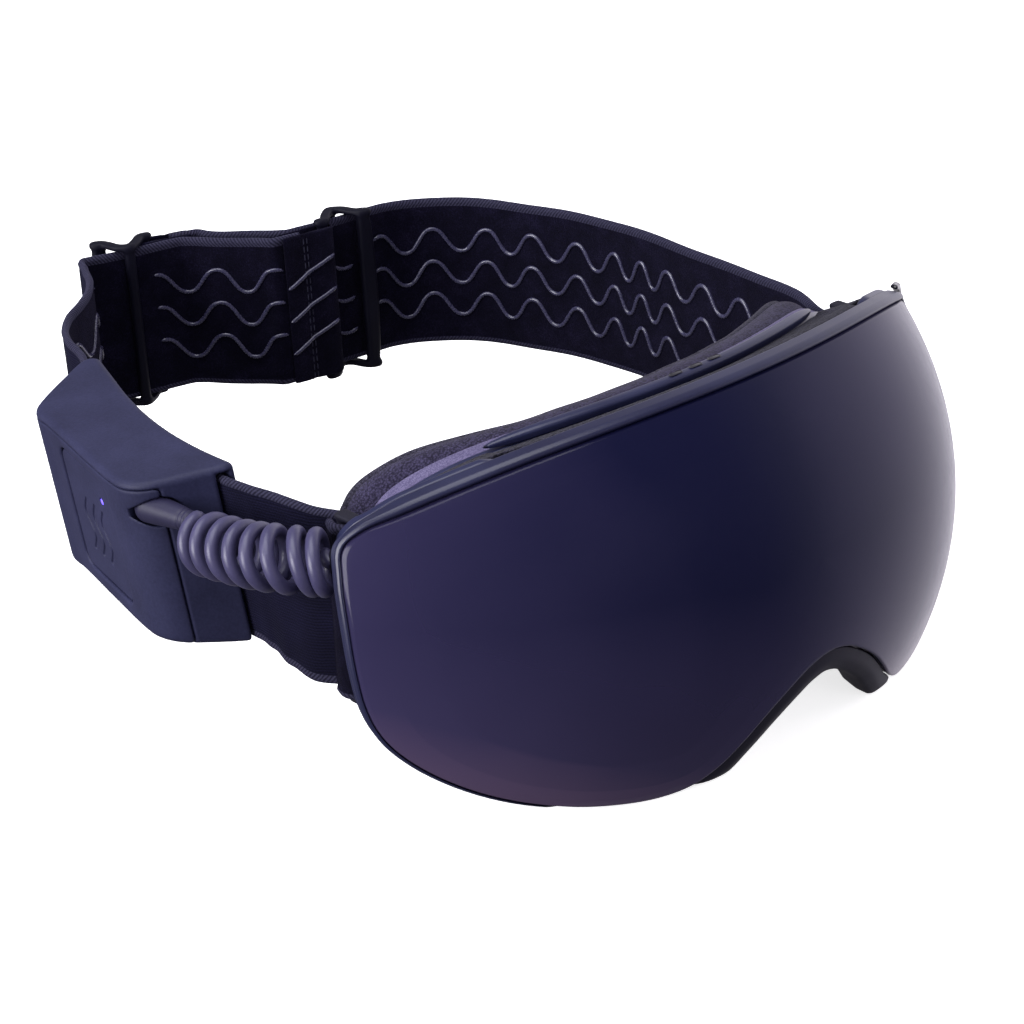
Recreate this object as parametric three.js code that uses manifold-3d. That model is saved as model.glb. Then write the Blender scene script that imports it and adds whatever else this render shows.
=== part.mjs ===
// Ski goggles with a strap-mounted battery pack and a coiled lead.
// Units are millimetres, +Z up.  The wearer looks along -Y, +X is the wearer's left.
// The model origin is the face seat: centre plane, rear face of the face foam at the
// brow, half height of the lens.  Everything is drawn in a datum frame whose origin is
// the foremost point of the lens (y = 0) at the height of its lowest edge (z = 0).

import * as THREE from 'three';
import { mergeVertices } from 'three/addons/utils/BufferGeometryUtils.js';
import Module from 'manifold-3d';

const wasm = await Module();
wasm.setup();

// ---------------------------------------------------------------- driving dimensions
const SEAT_Y = 52;            // face seat behind the foremost lens point
const SEAT_Z = 40;            // face seat above the lowest lens edge
const LENS_A = 112.5;         // lens ellipsoid half axis across (x)
const LENS_B = 119;           // lens ellipsoid half axis front to back (y)
const LENS_C = 90.3;          // lens ellipsoid half axis up (z)
const LENS_CZ = 27.5;         // height of the ellipsoid's centre
const LENS_T = 1.3;           // outer lens thickness
const INNER_T = 0.9;          // inner lens thickness
const LENS_GAP = 3.0;         // space between the two lenses
const STATIONS = 80;          // stations round the lens outline
const RIM_LIP = 2.0;          // width of the rim outside the lens edge
const RIM_BACK = 4.4;         // rear of the lens rim behind the lens edge
const FRAME_FRONT = 4.7;      // front of the face frame behind the lens edge
const FLANGE_T = 2.4;         // thickness of the frame's front flange
const FOAM_STACK = 13.2;      // base foam + mid foam + fleece
const STRAP_W = 40;           // strap width
const STRAP_T = 1.6;          // strap thickness
const STRAP_Z0 = 20;          // lower edge of the strap
const SLIDER_W = 14.4;        // three-bar slider, along the strap
const SLIDER_H = 43.6;        // three-bar slider, height
const PACK_Z0 = 18.8;         // battery pack, lower face
const PACK_Z1 = 62.2;         // battery pack, upper face
const PACK_TILT = -6.5;       // battery pack's lean, degrees, top outward
const CORD_D = 3.0;           // cord diameter
const COIL_OD = 14.0;         // outer diameter of the coiled stretch

// ---------------------------------------------------------------- helpers
const V3 = (x, y, z) => new THREE.Vector3(x, y, z);
const V2 = (x, y) => new THREE.Vector2(x, y);
const lerp = (a, b, t) => a + (b - a) * t;
const clamp = (v, a = 0, b = 1) => Math.max(a, Math.min(b, v));
const smooth = (v) => { const t = clamp(v); return t * t * (3 - 2 * t); };

function tidy(geometry) {
  let g = geometry.index ? geometry.clone() : geometry.clone();
  for (const k of ['normal', 'uv', 'uv1', 'color']) if (g.attributes[k]) g.deleteAttribute(k);
  g = mergeVertices(g, 1e-4);
  const idx = Array.from(g.index.array);
  const p = g.attributes.position;
  const keep = [];
  let vol = 0;
  const a = V3(0, 0, 0), b = V3(0, 0, 0), c = V3(0, 0, 0);
  for (let i = 0; i < idx.length; i += 3) {
    const [i0, i1, i2] = [idx[i], idx[i + 1], idx[i + 2]];
    if (i0 === i1 || i1 === i2 || i0 === i2) continue;
    a.fromBufferAttribute(p, i0); b.fromBufferAttribute(p, i1); c.fromBufferAttribute(p, i2);
    vol += a.dot(b.clone().cross(c));
    keep.push(i0, i1, i2);
  }
  if (vol < 0) for (let i = 0; i < keep.length; i += 3) [keep[i], keep[i + 1]] = [keep[i + 1], keep[i]];
  g.setIndex(keep);
  return g;
}
function solid(geometry) {
  const g = tidy(geometry);
  return new wasm.Manifold(new wasm.Mesh({
    numProp: 3,
    vertProperties: Float32Array.from(g.attributes.position.array),
    triVerts: Uint32Array.from(g.index.array),
  }));
}
function geo(manifold) {
  const m = manifold.getMesh();
  const g = new THREE.BufferGeometry();
  g.setAttribute('position', new THREE.BufferAttribute(Float32Array.from(m.vertProperties), 3));
  g.setIndex(Array.from(m.triVerts));
  return g;
}
// a closed ring: n stations round, section(i) gives the section's corners there
function ringLoft(n, section) {
  const m = section(0).length;
  const g = new THREE.TorusGeometry(10, 3, m, n);
  const p = g.attributes.position;
  const cache = [];
  for (let i = 0; i < n; i++) cache.push(section(i));
  for (let j = 0; j <= m; j++) for (let i = 0; i <= n; i++) {
    const q = cache[i % n][j % m];
    p.setXYZ(j * (n + 1) + i, q[0], q[1], q[2]);
  }
  return tidy(g);
}
// an open run with flat ends: n segments, section(i) gives 4 corners in order
function barLoft(n, section) {
  const g = new THREE.BoxGeometry(n, 1, 1, n, 1, 1);
  const p = g.attributes.position;
  const cache = [];
  for (let i = 0; i <= n; i++) cache.push(section(i));
  for (let k = 0; k < p.count; k++) {
    const i = Math.round(p.getX(k) + n / 2);
    const y = p.getY(k) > 0, z = p.getZ(k) > 0;
    const q = cache[i][y ? (z ? 2 : 1) : (z ? 3 : 0)];
    p.setXYZ(k, q[0], q[1], q[2]);
  }
  return tidy(g);
}
// a closed bar of any section: section(i) gives the same number of points for i = 0..n
function polyBar(n, section) {
  const cache = [];
  for (let i = 0; i <= n; i++) cache.push(section(i));
  const m = cache[0].length;
  const mid = cache.map((q) => [0, 1, 2].map((c) => q.reduce((a, v) => a + v[c], 0) / m));
  const g = new THREE.CylinderGeometry(1, 1, n, m, n);
  const p = g.attributes.position;
  for (let k = 0; k < p.count; k++) {
    const i = Math.round(n / 2 - p.getY(k));
    const x = p.getX(k), z = p.getZ(k);
    const j = (Math.round((Math.atan2(x, z) / (2 * Math.PI)) * m) + m) % m;
    const q = Math.hypot(x, z) < 0.5 ? mid[i] : cache[i][j];
    p.setXYZ(k, q[0], q[1], q[2]);
  }
  const t = tidy(g), v = t.attributes.position, a = t.index.array;
  let vol = 0;
  for (let k = 0; k < a.length; k += 3) {
    const [A, B, C] = [0, 1, 2].map((c) => V3(v.getX(a[k + c]), v.getY(a[k + c]), v.getZ(a[k + c])));
    vol += A.dot(B.cross(C));
  }
  if (vol < 0) for (let k = 0; k < a.length; k += 3) [a[k + 1], a[k + 2]] = [a[k + 2], a[k + 1]];
  return t;
}
// a closed dish: rows of n points from the front centre out to the edge and back again
function dishLoft(n, rows, point) {
  const g = new THREE.SphereGeometry(1, n, rows - 1);
  const p = g.attributes.position;
  for (let r = 0; r < rows; r++) for (let i = 0; i <= n; i++) {
    const q = point(i % n, r);
    p.setXYZ(r * (n + 1) + i, q[0], q[1], q[2]);
  }
  return tidy(g);
}
function offsetLine(pts, d) {         // pts: Vector2 list, d > 0 to the left of travel
  return pts.map((p, i) => {
    const a = pts[Math.max(0, i - 1)], b = pts[Math.min(pts.length - 1, i + 1)];
    const t = b.clone().sub(a).normalize();
    return V2(p.x - t.y * d, p.y + t.x * d);
  });
}
function ribbonShape(pts, half) {
  const l = offsetLine(pts, half), r = offsetLine(pts, -half).reverse();
  return new THREE.Shape(l.concat(r));
}
function spline2(points, count) {
  const c = new THREE.SplineCurve(points.map((q) => V2(q[0], q[1])));
  return c.getSpacedPoints(count);
}
function prism(shape, z0, z1, opts = {}) {
  const bt = opts.bevel || 0;
  const g = new THREE.ExtrudeGeometry(shape, {
    depth: z1 - z0 - 2 * bt, steps: opts.steps || 1, curveSegments: opts.curveSegments || 6,
    bevelEnabled: bt > 0, bevelThickness: bt, bevelSize: bt, bevelOffset: -bt,
    bevelSegments: opts.bevelSegments || 1,
  });
  g.translate(0, 0, z0 + bt);
  return tidy(g);
}
function boxAt(cx, cy, cz, sx, sy, sz) {
  const g = new THREE.BoxGeometry(sx, sy, sz);
  g.translate(cx, cy, cz);
  return g;
}
function rectShape(w, h, r, seg = 3) {
  const s = new THREE.Shape();
  const pts = [];
  const cs = [[w / 2 - r, h / 2 - r, 0], [-w / 2 + r, h / 2 - r, 90], [-w / 2 + r, -h / 2 + r, 180], [w / 2 - r, -h / 2 + r, 270]];
  for (const [cx, cy, a0] of cs) for (let k = 0; k <= seg; k++) {
    const a = THREE.MathUtils.degToRad(a0 + (90 * k) / seg);
    pts.push(V2(cx + r * Math.cos(a), cy + r * Math.sin(a)));
  }
  s.setFromPoints(pts);
  return s;
}
const mat = (color, roughness, metalness = 0, extra = {}) =>
  new THREE.MeshStandardMaterial({ color, roughness, metalness, ...extra });

const goggles = new THREE.Group();
goggles.name = 'ski_goggles';
const datum = new THREE.Group();
datum.position.set(0, -SEAT_Y, -SEAT_Z);
goggles.add(datum);
function add(parent, name, geometry, material) {
  const mesh = new THREE.Mesh(geometry, material);
  mesh.name = name;
  parent.add(mesh);
  return mesh;
}

// ---------------------------------------------------------------- lens outline
// front view, right half from the top centre to the nose arch centre
const topZ = (x) => 79.1 - 12 * (x / 88) ** 2 - 7.85 * (x / 88) ** 4;
const half = [];
for (const x of [0, 14, 28, 42, 54, 65, 74]) half.push([x, topZ(x)]);
half.push([80.2, 63.9], [83.6, 61.0], [85.6, 55.6], [87.2, 47.2], [88, 37], [87.4, 28.6], [85.3, 22.2],
  [81.3, 16.6], [75, 11.1], [67, 6.4], [57.5, 2.9], [48, 0.9], [38.5, 0.1], [31.5, 1.3],
  [26.2, 4.8], [21.5, 9.8], [16.5, 15.0], [11, 19.4], [5.5, 22.6]);
const outlinePts = [...half.map(([x, z]) => V3(x, z, 0)), V3(0, 23.8, 0),
  ...half.slice(1).reverse().map(([x, z]) => V3(-x, z, 0))];
const outlineCurve = new THREE.CatmullRomCurve3(outlinePts, true, 'centripetal');
outlineCurve.arcLengthDivisions = 2000;
const raw = outlineCurve.getSpacedPoints(STATIONS).slice(0, STATIONS);
const F = raw.map((p, i) => {          // exact left-right symmetry
  const q = raw[(STATIONS - i) % STATIONS];
  return [(p.x - q.x) / 2, (p.y + q.y) / 2];
});
const wrap = (i) => ((i % STATIONS) + STATIONS) % STATIONS;
// inward direction at each station, smoothed so that insets never fold
let inward = F.map((p, i) => {
  const a = F[wrap(i - 1)], b = F[wrap(i + 1)];
  const t = V2(b[0] - a[0], b[1] - a[1]).normalize();
  return V2(t.y, -t.x);               // clockwise travel: inside is to the right
});
if (inward[0].y > 0) inward = inward.map((v) => v.negate());
const inwardSharp = inward.map((v) => v.clone());
// at the upper corners the insets run toward the temples, so the foam keeps a squarer corner
inward = inward.map((v, i) => {
  const [x, z] = F[i];
  const w = 0.9 * smooth((Math.abs(x) - 56) / 10) * smooth((z - 46) / 8);
  return v.clone().lerp(V2(Math.sign(x) * 50 - x, 47 - z).normalize(), w).normalize();
});
for (let k = 0; k < 3; k++) {
  inward = inward.map((v, i) => v.clone().multiplyScalar(2).add(inward[wrap(i - 1)]).add(inward[wrap(i + 1)]).normalize());
}
const lensY = (x, z, off = 0) => {
  const q = 1 - (x / (LENS_A - off)) ** 2 - ((z - LENS_CZ) / (LENS_C - off)) ** 2;
  return LENS_B - (LENS_B - off) * Math.sqrt(Math.max(q, 0.01));
};
const at = (i, d) => {
  const k = wrap(i);
  const m = d > 0 ? inward[k] : inwardSharp[k];
  return [F[k][0] + m.x * d, F[k][1] + m.y * d];
};
const edgeY = F.map(([x, z]) => lensY(x, z));
const inNose = (i) => Math.abs(F[i][0]) < 33 && F[i][1] < 26;
const inBottom = (i) => F[i][1] < 3.4 && Math.abs(F[i][0]) < 59;
const isTop = (i) => F[i][1] > 62.5;
// the outline is the lens edge along the top and the nose, the rim's outer edge elsewhere
let lensIn = F.map((_, i) => (inNose(i) || inBottom(i) || isTop(i) ? 0 : 0.35));
let rimLip = F.map((_, i) => (isTop(i) ? RIM_LIP : 0.5));
// 1 at the sides, where the rim's back and the frame draw in behind the lens edge
let tuck = F.map((_, i) => (inNose(i) || inBottom(i) || isTop(i) ? 0 : 1));
for (let k = 0; k < 2; k++) tuck = tuck.map((v, i) => (2 * v + tuck[wrap(i - 1)] + tuck[wrap(i + 1)]) / 4);
for (let k = 0; k < 1; k++) {
  lensIn = lensIn.map((v, i) => (2 * v + lensIn[wrap(i - 1)] + lensIn[wrap(i + 1)]) / 4);
  rimLip = rimLip.map((v, i) => (2 * v + rimLip[wrap(i - 1)] + rimLip[wrap(i + 1)]) / 4);
}
const bare = (i) => inNose(i) || inBottom(i);

// ---------------------------------------------------------------- lens unit
const lensUnit = new THREE.Group();
datum.add(lensUnit);
const CX = 0, CZL = 46;               // pole of the lens grid
function dish(inset, off0, off1, radii) {
  const rows = radii.length * 2;
  return dishLoft(STATIONS, rows, (i, r) => {
    const front = r < radii.length;
    const k = front ? radii[r] : radii[rows - 1 - r];
    const e = at(i, inset < 0 ? lensIn[i] : inset);
    const x = lerp(CX, e[0], k), z = lerp(CZL, e[1], k);
    return [x, lensY(x, z, front ? off0 : off1), z];
  });
}
add(lensUnit, 'outer_lens', dish(-1, 0, LENS_T, [0, 0.36, 0.66, 0.84, 0.93, 1]),
  mat(0x14142c, 0.06, 0, { transparent: true, opacity: 0.85 }));
const OFF_G0 = LENS_T + 0.75, OFF_G1 = LENS_T + LENS_GAP - 0.3, OFF_I0 = LENS_T + LENS_GAP, OFF_I1 = OFF_I0 + INNER_T;
add(lensUnit, 'inner_lens', dish(4.8, OFF_I0, OFF_I1, [0, 0.48, 0.82, 1]),
  mat(0x2c2a48, 0.08, 0, { transparent: true, opacity: 0.6 }));
add(lensUnit, 'lens_spacer_gasket', ringLoft(STATIONS, (i) => {
  const a = at(i, 4.8), b = at(i, 10.4);
  return [[a[0], lensY(...a, OFF_G0), a[1]], [b[0], lensY(...b, OFF_G0), b[1]],
    [b[0], lensY(...b, OFF_G1), b[1]], [a[0], lensY(...a, OFF_G1), a[1]]];
}), mat(0x1c1b2c, 0.9));
add(lensUnit, 'lens_rim', ringLoft(STATIONS, (i) => {
  const L = rimLip[i], e = lensIn[i], y = edgeY[i];
  const p = (d, yy) => { const q = at(i, d); return [q[0], yy, q[1]]; };
  const c3 = at(i, Math.max(e - 0.35, 0)), c4 = at(i, 4.0);
  const yb = lensY(...c3, LENS_T) + 0.75;
  const y4 = Math.max(lensY(...c4, LENS_T) + 0.9, y - 3.5);
  const u = tuck[i], rb = y + RIM_BACK;
  const yi = lerp(rb - 0.8, Math.max(y + 2.9, lensY(...at(i, 4.6), LENS_T + LENS_GAP + INNER_T) + 0.6), u);
  if (!bare(i)) return [p(-L, y + 1.1), p(-L + 0.3 + 0.2 * (1 - u), y + 0.25), p(e - 0.4, lensY(...at(i, e - 0.4)) - 0.1), p(e - 0.4, yb), p(4.0, y4), p(4.0, yi), p(4.0 + 1.4 * u, yi + 0.1), p(4.0 + 1.4 * u, rb), p(-L + 3.9 * u, rb)];
  return [p(0.2, yb + 0.6), p(0.2, yb + 0.4), p(0.2, yb + 0.2), p(0.2, yb), p(4.0, y4), p(4.0, rb - 0.8), p(4.0, rb - 0.5), p(4.0, rb), p(0.2, rb)];
}), mat(0x23233a, 0.45));

// contact strip of the lens heater, behind the inner lens at the cord's corner
{
  let best = 0, bd = 1e9;
  F.forEach((p, i) => { const d = (p[0] + 84) ** 2 + (p[1] - 52) ** 2; if (d < bd) { bd = d; best = i; } });
  add(lensUnit, 'lens_heater_contact', barLoft(2, (k) => {
    const i = wrap(best + k - 1);
    const a = at(i, 5.6), b = at(i, 8.8);
    const ya = lensY(...a, OFF_I1) + 0.8, yb = lensY(...b, OFF_I1) + 0.8;
    return [[a[0], ya, a[1]], [a[0], ya + 1.2, a[1]], [b[0], yb + 1.2, b[1]], [b[0], yb, b[1]]];
  }), mat(0xb59a4a, 0.35, 0.8));
}

// release tab hooked over the rim at the wearer's upper left corner
function nearest(x, z) {
  let best = 0, bd = 1e9;
  F.forEach((p, i) => { const d = (p[0] - x) ** 2 + (p[1] - z) ** 2; if (d < bd) { bd = d; best = i; } });
  return best;
}
for (const side of [1]) {
  const i0 = nearest(side * 79.5, 64.5);
  const tab = barLoft(2, (k) => {
    const i = i0 + (k - 1);
    const y = edgeY[wrap(i)];
    const p = (d, yy) => { const q = at(i, d); return [q[0], yy, q[1]]; };
    const h = rimLip[wrap(i)] + (k === 1 ? 2.0 : 1.4), g = rimLip[wrap(i)] + 0.3;
    return [p(-g, y + 1.4), p(-h, y + 1.8), p(-h, y + 3.8), p(-g, y + 4.3)];
  });
  add(lensUnit, 'lens_release_tab', tab, mat(0x121220, 0.25));
}

// ---------------------------------------------------------------- face frame
const faceY = (x, z) => SEAT_Y + 28 * (x / 72) ** 2
  - 12 * Math.exp(-((x / 17) ** 2)) * smooth((46 - z) / 24);
let insetB = F.map(([x, z], i) => {
  if (inNose(i)) return 2.6;
  const sx = Math.abs(inwardSharp[i].x);
  const base = z > 40 ? 5.0 : 6.0;
  return lerp(base, 22.0, smooth((sx - (z > 40 ? 0.2 : 0.25)) / (z > 40 ? 0.55 : 0.65)));
});
for (let k = 0; k < 4; k++) insetB = insetB.map((v, i) => (2 * v + insetB[wrap(i - 1)] + insetB[wrap(i + 1)]) / 4);
let vent = F.map(([x, z], i) => ((z > 50 && Math.abs(x) < 74) || (z < 9 && Math.abs(x) > 38 && Math.abs(x) < 62) ? 1 : 0));
const frameF = edgeY.map((y) => y + FRAME_FRONT);
const seatAt = F.map((_, i) => { const b = at(i, insetB[i]); return faceY(b[0], b[1]); });
const frameB = seatAt.map((y) => y - FOAM_STACK);
const insetAt = (i, y) => {
  const k = wrap(i);
  const y0 = frameF[k] + FLANGE_T;
  const y1 = frameB[k] - 2.6;
  return insetB[k] * clamp((y - y0) / Math.max(y1 - y0, 0.5));
};
const P = (i, d, y) => { const q = at(i, d + insetAt(i, y)); return [q[0], y, q[1]]; };
add(datum, 'face_frame', ringLoft(STATIONS, (i) => {
  const f = frameF[i], b = frameB[i];
  const u = tuck[i];
  const brow = isTop(i) && Math.abs(F[i][0]) < 54.5 ? 1 : 0;   // where foam lies over the flange
  const out = bare(i) ? 0.5 : lerp(0.4 - rimLip[i] + 4.1 * u, 0.9, brow);
  const ch = vent[i] ? 2.2 : (bare(i) ? 0.9 : 0.7);
  const fl = f + FLANGE_T;
  const o4y = Math.max(b - 2.8, fl + 0.8);
  const inFull = (d, y) => { const q = at(i, d + insetB[i]); return [q[0], y, q[1]]; };
  const flat = (d, y) => { const q = at(i, d); return [q[0], y, q[1]]; };
  return [flat(out, f), flat(out + 2.0 * u, fl), flat(Math.max(ch, out + 2.3 * u) + 0.0, fl + 0.4), inFull(ch, o4y), inFull(-0.8, o4y + 0.5), inFull(-0.8, b),
    inFull(5.2, b), inFull(4.4, Math.max(b - 4.4, fl - 0.4)), flat(4.4 + 4.2 * u, fl - 0.6), flat(4.2 + 4.0 * u, f)];
}), mat(0x1d1d2e, 0.55));

// foam stack: three bonded layers that follow the frame's rear edge
const layer = (d0, d1, t0, t1, bulge = 0) => ringLoft(STATIONS, (i) => {
  const b = insetB[i];
  const y0 = frameB[i] + t0, y1 = frameB[i] + t1;
  const q = (d, y) => { const r = at(i, d + b); return [r[0], y, r[1]]; };
  if (!bulge) return [q(d0, y0), q(d0, y1), q(d1, y1), q(d1, y0)];
  return [q(d0, y0), q(d0 - bulge, (y0 + y1) / 2), q(d0, y1), q(d1, y1), q(d1, y0)];
});
add(datum, 'foam_base_layer', layer(-0.4, 6.2, 0.55, 3.3), mat(0x8a86a0, 0.9));
add(datum, 'foam_mid_layer', layer(-0.2, 7.2, 4.2, 10.5, 0.7), mat(0x2b2a38, 0.95));
add(datum, 'face_fleece', layer(0.2, 7.6, 11.5, 13.2), mat(0x1b1a28, 1.0));

// vent foam laid in the frame's outer channel; along the brow it rises level with the rim and laps over the flange
function browFoam(i0, i1) {
  return polyBar(i1 - i0, (k) => {
    const i = wrap(i0 + k);
    const lap = Math.abs(F[i][0]) < 49.5 ? 1 : 0;
    const fl = frameF[i] + FLANGE_T;
    const b = Math.max(frameB[i] - 3.2, fl + 1.8);
    const r = lerp(fl + 0.7, edgeY[i] + RIM_BACK + 0.35, lap);
    const q = (d, y) => { const e = at(i, d); return [e[0], y, e[1]]; };
    const floor = (y) => 1.8 + insetB[i] * clamp((y - fl - 0.4) / Math.max(frameB[i] - 2.8 - fl - 0.4, 0.5));
    const top = insetB[i] - 1.9;
    const t0 = lerp(-0.4, -1.5, lap), step = Math.abs(F[i][0]) < 54.5 ? 0.4 : 1.7;
    return [q(t0, r), q(Math.max(top, -0.6), b), q(floor(b), b), q(floor(fl + 0.8), fl + 0.8), q(step, fl + 0.75), q(step, r)];
  });
}
function channelFoam(i0, i1) {
  return barLoft(i1 - i0, (k) => {
    const i = wrap(i0 + k);
    const f = frameF[i] + FLANGE_T + 0.8, b = Math.max(frameB[i] - 3.2, f + 1.0);
    const lo = (y) => { const q = at(i, 1.8 + insetB[i] * clamp((y - frameF[i] - FLANGE_T - 0.4) / Math.max(frameB[i] - 2.8 - frameF[i] - FLANGE_T - 0.4, 0.5))); return [q[0], y, q[1]]; };
    const hi = (y) => { const q = at(i, 0.2 + insetB[i] * clamp((y - frameF[i] - FLANGE_T - 0.4) / Math.max(frameB[i] - 2.8 - frameF[i] - FLANGE_T - 0.4, 0.5))); return [q[0], y, q[1]]; };
    return [hi(f), hi(b), lo(b), lo(f)];
  });
}
const ventRun = (test) => {
  const list = [];
  for (let i = -STATIONS / 2; i < STATIONS / 2; i++) if (vent[wrap(i)] && test(F[wrap(i)])) list.push(i);
  return [list[0], list[list.length - 1]];
};
const ventMat = () => mat(0x23232e, 1.0);
{
  const [a, b] = ventRun(([x, z]) => z > 50);
  add(datum, 'top_vent_foam', browFoam(a, b), ventMat());
  const bl = [], br = [];
  for (let i = 0; i < STATIONS; i++) if (vent[i] && F[i][1] < 9) (F[i][0] < 0 ? bl : br).push(i);
  add(datum, 'bottom_vent_foam_right', channelFoam(bl[0], bl[bl.length - 1]), ventMat());
  add(datum, 'bottom_vent_foam_left', channelFoam(br[0], br[br.length - 1]), ventMat());
}

// brow rail: slotted strip over the rear edge of the top vent
{
  const run = [];
  for (let i = -STATIONS / 2; i < STATIONS / 2; i++) { const [x, z] = F[wrap(i)]; if (z > 60 && Math.abs(x) < 50) run.push(i); }
  const a = run[0], n = run[run.length - 1] - run[0];
  const rail = barLoft(n, (k) => {
    const i = wrap(a + k);
    const y0 = frameB[i] - 2.6, y1 = frameB[i] + 0.2;
    const q = (d, y) => { const r = at(i, d + insetB[i]); return [r[0], y, r[1]]; };
    return [q(-1.1, y0), q(-3.0, y0 + 0.3), q(-2.6, y1), q(-1.1, y1)];
  });
  let m = solid(rail);
  for (const x of [-5.5, 0, 5.5]) {
    const i = nearest(x, topZ(x));
    const z = at(i, insetB[i] - 2)[1];
    m = m.subtract(solid(boxAt(x, frameB[i] - 1.2, z, 3.2, 1.0, 6)));
  }
  add(datum, 'brow_vent_rail', geo(m), mat(0x2a2c44, 0.4));
}

// nose trim: soft lip round the nose arch, ahead of the frame and outside the lens edge
{
  const run = [];
  for (let i = 0; i < STATIONS; i++) if (Math.abs(F[i][0]) < 33.5 && F[i][1] < 26) run.push(i);
  const a = run[0], n = run[run.length - 1] - run[0];
  add(datum, 'nose_trim', barLoft(n, (k) => {
    const i = wrap(a + k);
    const y = edgeY[i];
    const w = 4.7 * smooth(Math.min(k, n - k) / 1.6) + 0.8;
    const q = (d, yy) => { const r = at(i, d); return [r[0], yy, r[1]]; };
    return [q(-0.4, y + 0.8), q(-0.4 - w, y + 1.6), q(-0.4 - w, y + 10.5), q(-0.4, y + 10.5)];
  }), mat(0x0d0d12, 0.7));
}

// ---------------------------------------------------------------- strap route (plan view)
// pack-side strap: from the anchor on the frame, through the pack, through the first
// slider, back along the inside to the hem on the second slider
const SL = { x: -11.5, y: 227.2, a: -17 };     // slider nearest the pack: centre and heading
const SR = { x: 37.4, y: 204.6, a: -9 };       // slider on the far side
const dirOf = (s) => V2(Math.cos(THREE.MathUtils.degToRad(s.a)), Math.sin(THREE.MathUtils.degToRad(s.a)));
const along = (s, u, v) => {                     // u along the strap, v toward the head
  const d = dirOf(s);
  return [s.x + d.x * u + d.y * v, s.y + d.y * u - d.x * v];
};
const HEM_V = 3.65;                              // sewn layer's plane beside the sliding one
const BAR_END = 5.6;                             // end bar's centre from the slider's centre
const ANCHOR = { x: 73.6, y: 64.6 };             // anchor bar, mirrored left and right

// ---------------------------------------------------------------- battery pack axes
const packTilt = new THREE.Group();
const tiltAxis = V3(0.2136, 0.9769, 0).normalize();
const tiltPoint = V3(-75, 130, SEAT_Z);
const M_TILT = new THREE.Matrix4().makeTranslation(tiltPoint.x, tiltPoint.y, tiltPoint.z)
  .multiply(new THREE.Matrix4().makeRotationAxis(tiltAxis, THREE.MathUtils.degToRad(PACK_TILT)))
  .multiply(new THREE.Matrix4().makeTranslation(-tiltPoint.x, -tiltPoint.y, -tiltPoint.z));
M_TILT.decompose(packTilt.position, packTilt.quaternion, packTilt.scale);
datum.add(packTilt);
const PACK_O = V2(-87.9, 133.75);
const packAxes = new THREE.Group();
packAxes.position.set(PACK_O.x, PACK_O.y, SEAT_Z);
packAxes.rotation.z = Math.atan2(0.9769, 0.2136);
packTilt.add(packAxes);
const toPack = ([x, y]) => {
  const dx = x - PACK_O.x, dy = y - PACK_O.y;
  return [dx * 0.2136 + dy * 0.9769, -dx * 0.9769 + dy * 0.2136];
};

// strap lean: 1 inside the pack, easing out on both sides of it
function leanAt(y) {
  const keys = [[60, 0.0], [68, -0.15], [76, -0.5], [84, -0.1], [92, 0.7], [97, 1], [171, 1], [184, 0.5], [200, 0], [260, 0]];
  if (y <= keys[0][0]) return keys[0][1];
  for (let k = 0; k < keys.length - 1; k++) {
    const [y0, w0] = keys[k], [y1, w1] = keys[k + 1];
    if (y <= y1) return lerp(w0, w1, smooth((y - y0) / (y1 - y0)));
  }
  return 0;
}
function leanGeometry(g) {
  const p = g.attributes.position;
  for (let k = 0; k < p.count; k++) {
    const v = V3(p.getX(k), p.getY(k), p.getZ(k));
    if (v.x > -40) continue;
    const w = leanAt(v.y);
    if (w === 0) continue;
    const m = v.clone().applyMatrix4(M_TILT);
    v.lerp(m, w);
    p.setXYZ(k, v.x, v.y, v.z);
  }
  return g;
}
const innerFace = [[-72.6, 97.0], [-72.6, 106], [-72.2, 114], [-71.2, 123], [-69.1, 134], [-65.8, 146], [-61.8, 157.5], [-57.4, 170]];
const routeInPack = offsetLine(innerFace.map((q) => V2(...q)), 2.9).map((v) => [v.x, v.y]);

const packPath = [[-ANCHOR.x + 0.2, ANCHOR.y + 2.75], [-74.6, 76], [-75.3, 84], [-75.5, 92],
  ...routeInPack, [-57.4, 177.6], [-55.4, 186.4], [-52.2, 194.6], [-47.2, 201.0], [-40.6, 205.8], [-34.4, 211.4], [-29.2, 218.2], [-25.6, 225.4], along(SL, -11.0, 0), along(SL, 0, 0), along(SL, 13.5, 0),
  [8.2, 215.4], [13.0, 209.8], along(SR, -BAR_END - 13.2, HEM_V), along(SR, -BAR_END - 6.9, HEM_V)];
const farPath = [[ANCHOR.x - 0.2, ANCHOR.y + 2.75], [76.0, 79], [78.6, 96], [79.6, 113], [80.8, 131], [80.8, 147], [79.3, 160],
  [76.3, 172], [72.2, 183], [66, 192.5], [58.5, 199.2], along(SR, 13.5, 0), along(SR, 0, 0), along(SR, -13.5, 0),
  [16.6, 214.4], [11.0, 220.0], along(SL, BAR_END + 13.2, -HEM_V), along(SL, BAR_END + 6.9, -HEM_V)];
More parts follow.
